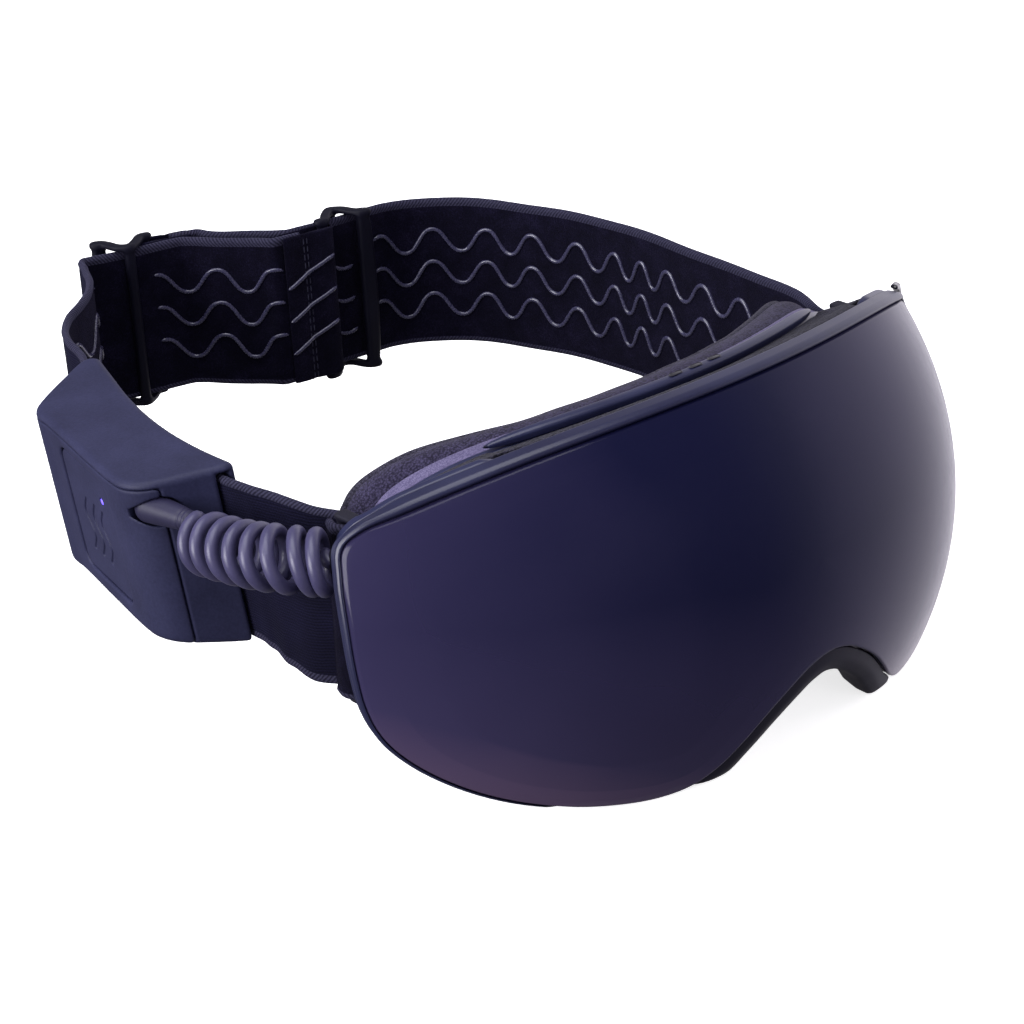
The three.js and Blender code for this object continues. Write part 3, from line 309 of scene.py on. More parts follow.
# tinted outer lens: a dark violet body that lets a little through, hard-coated; its colour also carries painted
# reflections
def lens_outer_mat():
    m = Nodes("lens_dark")
    x, y, z = m.xyz()
    slow = m.noise(0.018, 2.0)
    # painted reflection: low, side and far lighten the lens colour toward the bottom edge, where the floor would
    # reflect, and toward both side edges, where the lamps and the pale wall would glint
    low = m.map(z, -40.0, 6.0, 1.0, 0.0)
    side = m.map(x, 0.0, 88.0, 0.0, 1.0)
    far = m.map(x, -30.0, -88.0, 0.0, 1.0)
    t = m.math("ADD", m.math("ADD", m.math("MULTIPLY", low, 0.50), m.math("ADD", m.math("MULTIPLY", side, 0.45), m.math("MULTIPLY", far, 0.35))), m.math("MULTIPLY", m.math("SUBTRACT", slow, 0.5), 0.3))
    u, v = m.uv()      # v: how far in from the lens edge, mm; the spacer ring shows faintly through
    ring = m.math("MAXIMUM", m.math("MULTIPLY", m.map(v, 4.4, 5.2, 1.0, 0.0), 0.10), m.math("MULTIPLY", m.map(v, 10.6, 11.8, 1.0, 0.0), 0.055))
    t = m.math("ADD", t, m.math("MULTIPLY", ring, m.map(z, -34.0, -4.0, 1.0, 0.1)))
    # the lightest stop is the painted reflection at the bottom and the sides
    m.color(m.ramp(t, [(0.0, (0.0060, 0.0065, 0.028)), (0.5, (0.034, 0.0285, 0.073)), (1.0, (0.160, 0.104, 0.175))]))
    m.rough(m.map(m.noise(0.25, 4.0), 0.3, 0.7, 0.12, 0.2))
    m.bump(m.noise(0.06, 2.0), 0.02, 0.3)
    m.set(Alpha=0.93, IOR=1.5, Specular_IOR_Level=0.16)
    return m.mat


def lens_inner_mat():
    m = Nodes("lens_inner")
    m.color(m.ramp(m.noise(0.05, 3.0), [(0.3, (0.010, 0.010, 0.022)), (0.7, (0.020, 0.018, 0.040))]))
    m.rough(m.map(m.noise(0.4, 3.0), 0.3, 0.7, 0.10, 0.2))
    m.bump(m.noise(0.1, 2.0), 0.02, 0.3)
    m.set(Alpha=0.85, IOR=1.5, Specular_IOR_Level=0.2)
    return m.mat


def metal(name, color, rough=0.3, brushed=(1, 1, 1)):
    m = Nodes(name)
    n = m.noise(1.5, 4.0, 0.6, stretch=brushed)
    c2 = tuple(c * 0.72 for c in color)
    m.color(m.ramp(n, [(0.3, c2), (0.7, color)]))
    m.rough(m.map(n, 0.3, 0.7, rough - 0.08, rough + 0.1))
    m.bump(n, 0.02, 0.5)
    m.set(Metallic=1.0)
    return m.mat


def led():
    m = Nodes("led_light_pipe")
    m.color(m.ramp(m.noise(2.0), [(0.3, (0.08, 0.05, 0.6)), (0.7, (0.16, 0.12, 0.9))]))
    m.bump(m.noise(2.5), 0.01, 0.4)
    m.set(Roughness=0.15, Emission_Strength=1.6)
    m.bsdf.inputs["Emission Color"].default_value = (0.16, 0.10, 1.0, 1.0)
    return m.mat


def board():
    m = Nodes("board_green")
    t = m.noise(0.7, 4.0)
    lines = m.cells(0.35, feature="DISTANCE_TO_EDGE", randomness=0.35)
    m.color(m.mix(m.map(lines, 0.03, 0.06, 1.0, 0.0), m.ramp(t, [(0.3, (0.008, 0.06, 0.025)), (0.7, (0.015, 0.10, 0.04))]), (0.35, 0.25, 0.08)))
    m.bump(lines, 0.03, 0.5)
    m.set(Roughness=0.4)
    return m.mat


MAT = {
    "outer": knit_outer(), "inner": knit_inner(), "edge": knit_edge(), "bead": silicone(), "thread": thread(),
    "lens": lens_outer_mat(), "lens_in": lens_inner_mat(),
    "gasket": foam("gasket", (0.004, 0.004, 0.010), (0.018, 0.017, 0.034), 2.4, 0.08),
    "rim": moulded("rim_satin", (0.0085, 0.0090, 0.030), (0.016, 0.018, 0.054), 0.34, 0.010, 3.0, 0.42),
    "frame": moulded("frame_satin", (0.0095, 0.0105, 0.036), (0.018, 0.021, 0.062), 0.34, 0.012, 3.0, 0.45),
    "foam_base": foam("foam_dark", (0.010, 0.008, 0.020), (0.050, 0.043, 0.092), 1.9, 0.16),
    "foam_mid": foam("foam_lilac", (0.070, 0.060, 0.125), (0.150, 0.132, 0.235), 2.8, 0.05, 0.7),
    "fleece": foam("fleece", (0.012, 0.011, 0.020), (0.055, 0.050, 0.080), 2.1, 0.25, 1.0, (0.10, 0.09, 0.14)),
    "vent": foam("vent_foam", (0.003, 0.003, 0.007), (0.040, 0.037, 0.060), 1.5, 0.40, 1.0, (0.09, 0.085, 0.12)),
    "rubber": moulded("rubber_black", (0.0032, 0.0029, 0.0080), (0.0070, 0.0064, 0.0175), 0.62, 0.02, 2.6, 0.3),
    "gloss": moulded("gloss_black", (0.003, 0.003, 0.006), (0.007, 0.007, 0.013), 0.16, 0.004, 1.5, 0.5),
    "slider": moulded("slider_plastic", (0.0016, 0.0015, 0.0050), (0.0040, 0.0038, 0.0115), 0.55, 0.02, 2.6, 0.14),
    "pack": moulded("pack_plastic", (0.0115, 0.0125, 0.037), (0.026, 0.0275, 0.072), 0.60, 0.05, 1.5, 0.26),
    "boot": moulded("boot_rubber", (0.013, 0.012, 0.034), (0.023, 0.021, 0.054), 0.5, 0.012, 2.2, 0.32, sheen=0.02),
    "cord": moulded("cord_sleeve", (0.034, 0.031, 0.078), (0.055, 0.050, 0.115), 0.38, 0.008, 1.6, 0.5, sheen=0.03),
    "brass": metal("contact_metal", (0.80, 0.62, 0.32), 0.25),
    "steel": metal("port_metal", (0.62, 0.63, 0.66), 0.28, (1, 1, 4)),
    "foil": metal("cell_foil", (0.60, 0.61, 0.64), 0.35, (1, 1, 0.2)),
    "led": led(), "board": board(),
    "chip": moulded("chip_black", (0.004, 0.004, 0.005), (0.012, 0.012, 0.014), 0.4, 0.01, 2.0, 0.4),
}


# ------------------------------------------------------------------ mesh helpers
def mesh_of(name, V, faces, uv=None, mat_index=None):
    """V in datum mm, faces a list of (k, n) index arrays; normals are turned outward."""
    V = W(V)
    faces = [np.asarray(f, np.int64) for f in faces if len(f)]
    vol = 0.0
    for f in faces:
        a = V[f[:, 0]]
        for k in range(1, f.shape[1] - 1):
            vol += float(np.einsum("ij,ij->i", a, np.cross(V[f[:, k]], V[f[:, k + 1]])).sum())
    if vol < 0:
        faces = [f[:, ::-1] for f in faces]
    me = bpy.data.meshes.new(name)
    me.vertices.add(len(V))
    me.vertices.foreach_set("co", V.astype(np.float32).ravel())
    loops = np.concatenate([f.ravel() for f in faces])
    sizes = np.concatenate([np.full(len(f), f.shape[1]) for f in faces])
    starts = np.concatenate([[0], np.cumsum(sizes)[:-1]])
    me.loops.add(len(loops))
    me.loops.foreach_set("vertex_index", loops.astype(np.int32))
    me.polygons.add(len(sizes))
    me.polygons.foreach_set("loop_start", starts.astype(np.int32))
    if mat_index is not None:
        me.polygons.foreach_set("material_index", np.asarray(mat_index, np.int32))
    if uv is not None:
        layer = me.uv_layers.new(name="UVMap")
        layer.data.foreach_set("uv", np.asarray(uv, np.float32)[loops].ravel())
    me.update(calc_edges=True)
    me.validate()
    me.polygons.foreach_set("use_smooth", np.ones(len(me.polygons), bool))
    return me


def piece(name, me, mats, body, replaces=(), weighted=False):
    o = bpy.data.objects.new(name, me)
    scene.collection.objects.link(o)
    for m in mats if isinstance(mats, (list, tuple)) else [mats]:
        me.materials.append(MAT[m])
    if weighted:
        w = o.modifiers.new("normals", "WEIGHTED_NORMAL")
        w.weight = 80
        w.keep_sharp = True
    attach(o, body)
    if replaces:
        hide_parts(*replaces)
    return o


def loft(S, ring=True):
    """S (n, m, 3): n stations of a closed section. Faces round it, with end caps when the run is open."""
    n, m = S.shape[:2]
    i = np.arange(n if ring else n - 1)
    j = np.arange(m)
    I, J = np.meshgrid(i, j, indexing="ij")
    a = (I % n) * m + J
    b = ((I + 1) % n) * m + J
    c = ((I + 1) % n) * m + (J + 1) % m
    d = (I % n) * m + (J + 1) % m
    faces = [np.stack([a, b, c, d], -1).reshape(-1, 4)]
    if not ring:
        faces.append(np.arange(m)[None, ::-1])
        faces.append((np.arange(m) + (n - 1) * m)[None])
    return S.reshape(-1, 3), faces


def fillet(S, r, seg=4):
    """Rounds the corners of a closed section, the same way at each station."""
    n, m = S.shape[:2]
    r = np.broadcast_to(np.asarray(r, float), (m,))
    out = []
    for j in range(m):
        p, a, b = S[:, j], S[:, j - 1], S[:, (j + 1) % m]
        la = np.linalg.norm(a - p, axis=1) + 1e-9
        lb = np.linalg.norm(b - p, axis=1) + 1e-9
        t = np.minimum(r[j], np.minimum(0.46 * la, 0.46 * lb))[:, None]
        p0, p1 = p + (a - p) / la[:, None] * t, p + (b - p) / lb[:, None] * t
        for s in np.linspace(0, 1, seg + 1):
            out.append((1 - s) ** 2 * p0 + 2 * s * (1 - s) * p + s * s * p1)
    return np.stack(out, 1)


def taper(S, count, power=0.5):
    """Rounds off both ends of an open run by drawing the sections in toward their middles."""
    n = len(S)
    S = S.copy()
    for k in range(count):
        f = (1 - (1 - (k + 0.15) / count) ** 2) ** power
        for i in (k, n - 1 - k):
            c = S[i].mean(0)
            S[i] = c + (S[i] - c) * f
    return S


def catmull(P, n, closed=False, sub=60):
    """Centripetal Catmull-Rom through P, resampled to equal steps."""
    P = np.asarray(P, float)
    if closed:
        Q = np.vstack([P[-1], P, P[0], P[1]])
    else:
        Q = np.vstack([2 * P[0] - P[1], P, 2 * P[-1] - P[-2]])
    out = []
    for k in range(1, len(Q) - 2):
        p0, p1, p2, p3 = Q[k - 1], Q[k], Q[k + 1], Q[k + 2]
        d0, d1, d2 = (max(np.linalg.norm(b - a) ** 0.5, 1e-4) for a, b in ((p0, p1), (p1, p2), (p2, p3)))
        t1 = ((p1 - p0) / d0 - (p2 - p0) / (d0 + d1) + (p2 - p1) / d1) * d1
        t2 = ((p2 - p1) / d1 - (p3 - p1) / (d1 + d2) + (p3 - p2) / d2) * d1
        s = np.linspace(0, 1, sub, endpoint=False)[:, None]
        c2, c3 = -3 * p1 + 3 * p2 - 2 * t1 - t2, 2 * p1 - 2 * p2 + t1 + t2
        out.append(p1 + t1 * s + c2 * s * s + c3 * s**3)
    D = np.vstack(out + [Q[-2][None]])
    L = np.concatenate([[0], np.cumsum(np.linalg.norm(np.diff(D, axis=0), axis=1))])
    at = np.linspace(0, L[-1], n, endpoint=not closed)
    return np.stack([np.interp(at, L, D[:, k]) for k in range(D.shape[1])], 1)


def periodic(a, k):
    """Smooth periodic upsampling of a by k."""
    a = np.asarray(a, float)
    n = len(a)
    i = np.arange(n * k) // k
    t = (np.arange(n * k) % k) / k
    if a.ndim > 1:
        t = t[:, None]
    p0, p1, p2, p3 = a[(i - 1) % n], a[i], a[(i + 1) % n], a[(i + 2) % n]
    return p1 + 0.5 * t * (p2 - p0 + t * (2 * p0 - 5 * p1 + 4 * p2 - p3 + t * (3 * (p1 - p2) + p3 - p0)))


# ------------------------------------------------------------------ distance-field modelling
def field(lo, hi, h):
    ax = [np.arange(lo[k] - 3 * h, hi[k] + 4 * h, h) for k in range(3)]
    X, Y, Z = ax[0][:, None, None], ax[1][None, :, None], ax[2][None, None, :]
    return X, Y, Z, np.array([a[0] for a in ax]), h


def smax(a, b, k):
    q = np.maximum(k - np.abs(a - b), 0) / k
    return np.maximum(a, b) + q * q * k / 4


def smin(a, b, k):
    return -smax(-a, -b, k)


def poly(P, X, Y):
    """Signed distance to a closed polygon in the plane; X and Y broadcast against each other."""
    P = np.asarray(P, float)
    X, Y = np.broadcast_arrays(X[..., 0], Y[..., 0])
    best = np.full(X.shape, 1e9)
    inside = np.zeros(X.shape, bool)
    for k in range(len(P)):
        a, b = P[k], P[(k + 1) % len(P)]
        e = b - a
        L = e @ e
        if L < 1e-12:
            continue
        wx, wy = X - a[0], Y - a[1]
        t = np.clip((wx * e[0] + wy * e[1]) / L, 0, 1)
        best = np.minimum(best, (wx - e[0] * t) ** 2 + (wy - e[1] * t) ** 2)
        cond = (a[1] > Y) != (b[1] > Y)
        if cond.any():
            with np.errstate(divide="ignore", invalid="ignore"):
                xi = a[0] + (Y - a[1]) * e[0] / (e[1] if abs(e[1]) > 1e-12 else 1e-12)
            inside ^= cond & (X < xi)
    d = np.sqrt(best)
    return np.where(inside, -d, d)[..., None]


def line_dist(P, X, Y):
    """Distance to an open polyline in the plane."""
    P = np.asarray(P, float)
    X, Y = np.broadcast_arrays(X[..., 0], Y[..., 0])
    best = np.full(X.shape, 1e9)
    for a, b in zip(P[:-1], P[1:]):
        e = b - a
        wx, wy = X - a[0], Y - a[1]
        t = np.clip((wx * e[0] + wy * e[1]) / max(e @ e, 1e-12), 0, 1)
        best = np.minimum(best, (wx - e[0] * t) ** 2 + (wy - e[1] * t) ** 2)
    return np.sqrt(best)[..., None]


def extrude(d2, Z, z0, z1, r):
    a, b = d2 + r, np.abs(Z - (z0 + z1) / 2) - (z1 - z0) / 2 + r
    return np.minimum(np.maximum(a, b), 0) + np.hypot(np.maximum(a, 0), np.maximum(b, 0)) - r


def rbox(X, Y, Z, c, s, r):
    q = [np.abs(A - c[k]) - s[k] / 2 + r for k, A in enumerate((X, Y, Z))]
    out = np.sqrt(sum(np.maximum(a, 0) ** 2 for a in q))
    return out + np.minimum(np.maximum(np.maximum(q[0], q[1]), q[2]), 0) - r


def rcone(X, Y, Z, a, b, ra, rb):
    """A rod whose radius changes evenly from a to b, with round ends."""
    a, b = np.asarray(a, float), np.asarray(b, float)
    e = b - a
    L = e @ e
    w = [X - a[0], Y - a[1], Z - a[2]]
    t = np.clip((w[0] * e[0] + w[1] * e[1] + w[2] * e[2]) / L, 0, 1)
    d = np.sqrt((w[0] - e[0] * t) ** 2 + (w[1] - e[1] * t) ** 2 + (w[2] - e[2] * t) ** 2)
    return d - (ra + (rb - ra) * t)


def cyl(X, Y, Z, a, b, ra, rb=None, r=0.0):
    """A rod with flat ends."""
    rb = ra if rb is None else rb
    a, b = np.asarray(a, float), np.asarray(b, float)
    e = b - a
    Ln = np.linalg.norm(e)
    e = e / Ln
    w = [X - a[0], Y - a[1], Z - a[2]]
    t = w[0] * e[0] + w[1] * e[1] + w[2] * e[2]
    d = np.sqrt(np.maximum(w[0] ** 2 + w[1] ** 2 + w[2] ** 2 - t * t, 0))
    p = d - (ra + (rb - ra) * np.clip(t / Ln, 0, 1)) + r
    q = np.abs(t - Ln / 2) - Ln / 2 + r
    return np.minimum(np.maximum(p, q), 0) + np.hypot(np.maximum(p, 0), np.maximum(q, 0)) - r


def surface(name, d, origin, h, M=None, relax=1):
    """The zero surface of a distance field as a smooth quad mesh. M (4x4) takes local mm to datum mm."""
    g = openvdb.FloatGrid(3.0 * h)
    g.copyFromArray(np.ascontiguousarray(np.clip(d, -3 * h, 3 * h).astype(np.float32)))
    P, Q = g.convertToQuads(0.0)
    P = P.astype(float) * h + origin
    if M is not None:
        P = P @ M[:3, :3].T + M[:3, 3]
    Q = Q.astype(np.int64)
    for _ in range(relax):
        s, c = np.zeros_like(P), np.zeros(len(P))
        for k in range(4):
            a, b = Q[:, k], Q[:, (k + 1) % 4]
            np.add.at(s, a, P[b])
            np.add.at(c, a, 1)
        P = 0.5 * P + 0.5 * s / np.maximum(c, 1)[:, None]
    return mesh_of(name, P, [Q])


# ------------------------------------------------------------------ the free cord: a coiled lead
def mat4(m):
    return np.array([list(r) for r in m], float)


TILT_AXIS = Vector((0.2136, 0.9769, 0)).normalized()
M_TILT = mat4(Matrix.Translation((-75, 130, 40)) @ Matrix.Rotation(math.radians(-6.5), 4, TILT_AXIS) @ Matrix.Translation((75, -130, -40)))
PACK_M = M_TILT @ mat4(Matrix.Translation((-87.9, 133.75, 40)) @ Matrix.Rotation(math.atan2(0.9769, 0.2136), 4, "Z"))


def app(M, p):
    p = np.asarray(p, float)
    return p @ M[:3, :3].T + M[:3, 3]


def to_pack(q):
    q = np.asarray(q, float)
    dx, dy = q[..., 0] + 87.9, q[..., 1] - 133.75
    return np.stack([dx * 0.2136 + dy * 0.9769, -dx * 0.9769 + dy * 0.2136], -1)


R_A = np.array([*to_pack([-88.2, 112.0]), 15.0])
R_B = np.array([*to_pack([-86.6, 95.4]), 15.0])
CORD_D = 3.0
GLAND = np.array([-81.7, 58.4, 55.6])
GLAND_N = np.array([-0.77, 0.64, 0.0]) / 1.00125
COIL_AXIS = catmull([[-89.1, 92.4, 51.4], [-89.5, 83.2, 53.0], [-89.3, 73.8, 54.7], [-87.4, 65.8, 55.8], GLAND + GLAND_N * 2.1], 400)
exit_p, exit_d = app(PACK_M, R_B), app(PACK_M, R_B) - app(PACK_M, R_A)
exit_d = exit_d / np.linalg.norm(exit_d)

TURNS = 7.6
# how far along the axis each turn passes its outermost side: tight at the pack, opening toward the frame
reach = 3.32 * (91.6 - COIL_AXIS[:, 1]) + 3.66 * (COIL_AXIS[:, 0] + 88.9)
marks = np.interp([0.5, 15.0, 33.2, 51.0, 66.4, 85.0, 110.2, 138.5, 143.0], reach, np.linspace(0, 1, 400))
marks[-1] = 1.0
ph = np.linspace(-0.3, TURNS, 317)
along_axis = catmull(np.stack([np.array([-1, 0, 1, 2, 3, 4, 5, 6, 7, 7.6]), np.concatenate([[marks[0] - 0.09], marks])], 1), 2000)
along_axis = np.interp(ph, along_axis[:, 0], along_axis[:, 1])
ax = np.stack([np.interp(along_axis * 399, np.arange(-40, 400), np.concatenate([COIL_AXIS[0, k] + (COIL_AXIS[1, k] - COIL_AXIS[0, k]) * np.arange(-40, 0), COIL_AXIS[:, k]])) for k in range(3)], 1)
radius = 5.5 - 3.4 * smooth((ph - 7.1) / 0.5)
e1, e2 = np.array([1.0, 0.05, 0.0]), np.array([0.0, 0.26, 0.9656])
turn = smooth((np.arange(len(ph)) / (len(ph) - 1.0) - 0.30) / 0.55)[:, None]      # the rings stand squarer to the strap towards the rim
e1 = e1 * (1 - turn) + np.array([0.80, 0.60, 0.0]) * turn
e1 = e1 / np.linalg.norm(e1, axis=1)[:, None]
helix = ax - radius[:, None] * (np.sin(2 * np.pi * ph)[:, None] * e2 + np.cos(2 * np.pi * ph)[:, None] * e1)
lead_in = np.array([exit_p - exit_d * 2.0, exit_p, exit_p + exit_d * 0.9])
lead_out = np.array([GLAND + GLAND_N * 0.9, GLAND])
cord_line = catmull(np.vstack([lead_in, helix[2::4], lead_out]), 420, sub=12)
cu = bpy.data.curves.new("coiled_lead", "CURVE")
cu.dimensions = "3D"
sp = cu.splines.new("POLY")
sp.points.add(len(cord_line) - 1)
sp.points.foreach_set("co", np.hstack([W(cord_line), np.ones((len(cord_line), 1))]).ravel())
sp.use_smooth = True
cu.bevel_depth = CORD_D / 2 * MM
cu.bevel_resolution = 5
cu.use_fill_caps = True
coil = bpy.data.objects.new("coiled_lead", cu)
scene.collection.objects.link(coil)
cu.materials.append(MAT["cord"])
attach(coil, "frame")
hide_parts("coiled_cord", "cord_lead_pack")

# ------------------------------------------------------------------ the lens outline and what follows it
K = 6
SEAT_Y, LENS_A, LENS_B, LENS_C, LENS_CZ = 52, 112.5, 119, 90.3, 27.5
LENS_T, INNER_T, LENS_GAP = 1.3, 0.9, 3.0
RIM_LIP, RIM_BACK, FRAME_FRONT, FLANGE_T, FOAM_STACK = 2.0, 4.4, 4.7, 2.4, 13.2


def top_z(x):
    return 79.1 - 12 * (x / 88) ** 2 - 7.85 * (x / 88) ** 4


half = [[x, top_z(x)] for x in (0, 14, 28, 42, 54, 65, 74)]
half += [[80.2, 63.9], [83.6, 61.0], [85.6, 55.6], [87.2, 47.2], [88, 37], [87.4, 28.6], [85.3, 22.2], [81.3, 16.6], [75, 11.1], [67, 6.4],
         [57.5, 2.9], [48, 0.9], [38.5, 0.1], [31.5, 1.3], [26.2, 4.8], [21.5, 9.8], [16.5, 15.0], [11, 19.4], [5.5, 22.6]]
loop = np.array(half + [[0, 23.8]] + [[-x, z] for x, z in half[:0:-1]])


def outline(n):
    p = catmull(loop, n, closed=True)
    q = p[(-np.arange(n)) % n]
    return np.stack([(p[:, 0] - q[:, 0]) / 2, (p[:, 1] + q[:, 1]) / 2], 1)


F80, F = outline(80), outline(80 * K)
N = len(F)
t = np.roll(F80, -1, 0) - np.roll(F80, 1, 0)
t /= np.linalg.norm(t, axis=1)[:, None]
sharp80 = np.stack([t[:, 1], -t[:, 0]], 1)
if sharp80[0, 1] > 0:
    sharp80 = -sharp80
# at the upper corners the insets run toward the temples, so the foam keeps a squarer corner
_w = 0.9 * smooth((np.abs(F80[:, 0]) - 56) / 10) * smooth((F80[:, 1] - 46) / 8)
_to = np.stack([np.sign(F80[:, 0]) * 50 - F80[:, 0], 47 - F80[:, 1]], 1)
_to /= np.linalg.norm(_to, axis=1)[:, None]
inw80 = sharp80 * (1 - _w[:, None]) + _to * _w[:, None]
inw80 /= np.linalg.norm(inw80, axis=1)[:, None]
for _ in range(3):
    inw80 = 2 * inw80 + np.roll(inw80, 1, 0) + np.roll(inw80, -1, 0)
    inw80 /= np.linalg.norm(inw80, axis=1)[:, None]


def unit(a):
    return a / np.linalg.norm(a, axis=1)[:, None]


inw, shp = unit(periodic(inw80, K)), unit(periodic(sharp80, K))


def lens_y(x, z, off=0.0):
    q = 1 - (x / (LENS_A - off)) ** 2 - ((z - LENS_CZ) / (LENS_C - off)) ** 2
    return LENS_B - (LENS_B - off) * np.sqrt(np.maximum(q, 0.01))


def at(d, idx=slice(None)):
    d = np.broadcast_to(np.asarray(d, float), F[idx, 0].shape)[:, None]
    return F[idx] + np.where(d > 0, inw[idx], shp[idx]) * d


def pt(d, y, idx=slice(None)):
    p = at(d, idx)
    y = np.broadcast_to(np.asarray(y, float), p[:, 0].shape)
    return np.stack([p[:, 0], y, p[:, 1]], 1)


def tri(a):
    return (2 * a + np.roll(a, 1) + np.roll(a, -1)) / 4


x8, z8 = F80.T
nose8 = (np.abs(x8) < 33) & (z8 < 26)
bottom8 = (z8 < 3.4) & (np.abs(x8) < 59)
top8 = z8 > 62.5
bare8 = nose8 | bottom8
lens_in = np.maximum(periodic(tri(np.where(bare8 | top8, 0.0, 0.35)), K), 0)
rim_lip = np.maximum(periodic(tri(np.where(top8, RIM_LIP, 0.5)), K), 0)
tuck = clamp(periodic(tri(tri(np.where(bare8 | top8, 0.0, 1.0))), K))
bare = clamp(periodic(bare8.astype(float), K))
edge_y = lens_y(F[:, 0], F[:, 1])
sx = np.abs(sharp80[:, 0])
up8 = z8 > 40
ib = np.where(nose8, 2.6, lerp(np.where(up8, 5.0, 6.0), 22.0, smooth((sx - np.where(up8, 0.2, 0.25)) / np.where(up8, 0.55, 0.65))))
for _ in range(4):
    ib = tri(ib)
inset_b = periodic(ib, K)
vent8 = (((z8 > 50) & (np.abs(x8) < 74)) | ((z8 < 9) & (np.abs(x8) > 38) & (np.abs(x8) < 62))).astype(float)
vent = clamp(periodic(vent8, K))


def face_y(x, z):
    return SEAT_Y + 28 * (x / 72) ** 2 - 12 * np.exp(-((x / 17) ** 2)) * smooth((46 - z) / 24)


frame_f = edge_y + FRAME_FRONT
_b = at(inset_b)
frame_b = face_y(_b[:, 0], _b[:, 1]) - FOAM_STACK


# --- lens unit
def dish(inset, off0, off1, name, mat, node, rows=26):
    T = off1 - off0
    steps = [(k, 0.45, off0) for k in np.linspace(0, 1, rows) ** 0.85]
    steps += [(1.0, 0.45 * (1 - math.sin(a)), off0 + T / 2 * (1 - math.cos(a))) for a in np.linspace(0, math.pi, 9)[1:-1]]
    steps += [(k, 0.45, off1) for k in np.linspace(1, 0, rows) ** 0.85]
    V, UV = [], []
    edge = at(lens_in if inset < 0 else inset)
    for k, ins, off in steps:
        e = at((lens_in if inset < 0 else inset) + ins)
        x, z = lerp(0.0, e[:, 0], k), lerp(46.0, e[:, 1], k)
        V.append(np.stack([x, lens_y(x, z, off), z], 1))
        q_ = np.stack([x, z], 1)
        near = np.full(N, 99.0)
        for sh in range(-60, 61, 2):
            near = np.minimum(near, np.linalg.norm(q_ - np.roll(edge, sh, 0), axis=1))
        UV.append(np.stack([np.arange(N) / N, near], 1))
    S = np.stack(V[1:-1], 0)
    R = len(S)
    v = np.vstack([V[0][:1], S.reshape(-1, 3), V[-1][:1]])
    uv = np.vstack([UV[0][:1], *UV[1:-1], UV[-1][:1]])
    i = np.arange(N)
    faces = []
    for r in range(R - 1):
        a = 1 + r * N
        faces.append(np.stack([a + i, a + (i + 1) % N, a + N + (i + 1) % N, a + N + i], 1))
    caps = np.vstack([np.stack([np.zeros(N, int), 1 + (i + 1) % N, 1 + i], 1),
                      np.stack([np.full(N, len(v) - 1), 1 + (R - 1) * N + i, 1 + (R - 1) * N + (i + 1) % N], 1)])
    o = piece(name, mesh_of(name, v, [np.vstack(faces), caps], uv), mat, "lens_unit", [node])
    return o


OFF_I0 = LENS_T + LENS_GAP
dish(-1, 0, LENS_T, "lens_outer_shield", "lens", "outer_lens")
dish(4.8, OFF_I0, OFF_I0 + INNER_T, "lens_inner_shield", "lens_in", "inner_lens", 20)

sec = [pt(4.8, 0), pt(10.4, 0)]
g0, g1 = LENS_T + 0.15, OFF_I0 - 0.1


def lens_pt(d, off):
    p = at(d)
    return np.stack([p[:, 0], lens_y(p[:, 0], p[:, 1], off), p[:, 1]], 1)


S = np.stack([lens_pt(4.9, g0), lens_pt(10.2, g0), lens_pt(10.3, g1), lens_pt(4.9, g1)], 1)
V, Fc = loft(fillet(S, 0.5, 3))
piece("lens_spacer_seal", mesh_of("lens_spacer_seal", V, Fc), "gasket", "lens_unit", ["lens_spacer_gasket"])

L, e, y = rim_lip, lens_in, edge_y
c3, c4 = at(np.maximum(e - 0.35, 0)), at(4.0)
yb = lens_y(c3[:, 0], c3[:, 1], LENS_T) + 0.45
y4 = np.maximum(lens_y(c4[:, 0], c4[:, 1], LENS_T) + 0.6, y - 3.5)
f4 = at(e - 0.3)
yf = lens_y(f4[:, 0], f4[:, 1]) + 0.12
u, rb = tuck, y + RIM_BACK
c46 = at(4.6)
yi = lerp(rb - 0.8, np.maximum(y + 2.9, lens_y(c46[:, 0], c46[:, 1], LENS_T + LENS_GAP + INNER_T) + 0.5), u)
Sa = np.stack([pt(-L, y + 1.25), pt(-L + 0.3 + 0.2 * (1 - u), y + 0.3), pt(-L * 0.45, y - 0.02) * (1 - u[:, None]) + pt(-L + 0.6, y + 0.16) * u[:, None], pt(e - 0.3, yf), pt(e - 0.3, yb), pt(4.0, y4), pt(4.0, yi),
               pt(4.0 + 1.4 * u, yi + 0.1), pt(4.0 + 1.4 * u, rb), pt(-L + 3.9 * u, rb)], 1)
Sb = np.stack([pt(0.2, yb + 0.9), pt(0.2, yb + 0.7), pt(0.2, yb + 0.5), pt(0.2, yb + 0.3), pt(0.2, yb), pt(4.0, y4), pt(4.0, rb - 0.8), pt(4.0, rb - 0.5), pt(4.0, rb), pt(0.2, rb)], 1)
S = lerp(Sa, Sb, bare[:, None, None])
V, Fc = loft(fillet(S, [0.45, 0.5, 0.4, 0.12, 0.1, 0.6, 0.3, 0.3, 0.5, 0.6], 3))
piece("lens_rim_moulding", mesh_of("lens_rim_moulding", V, Fc), "rim", "lens_unit", ["lens_rim"], weighted=True)


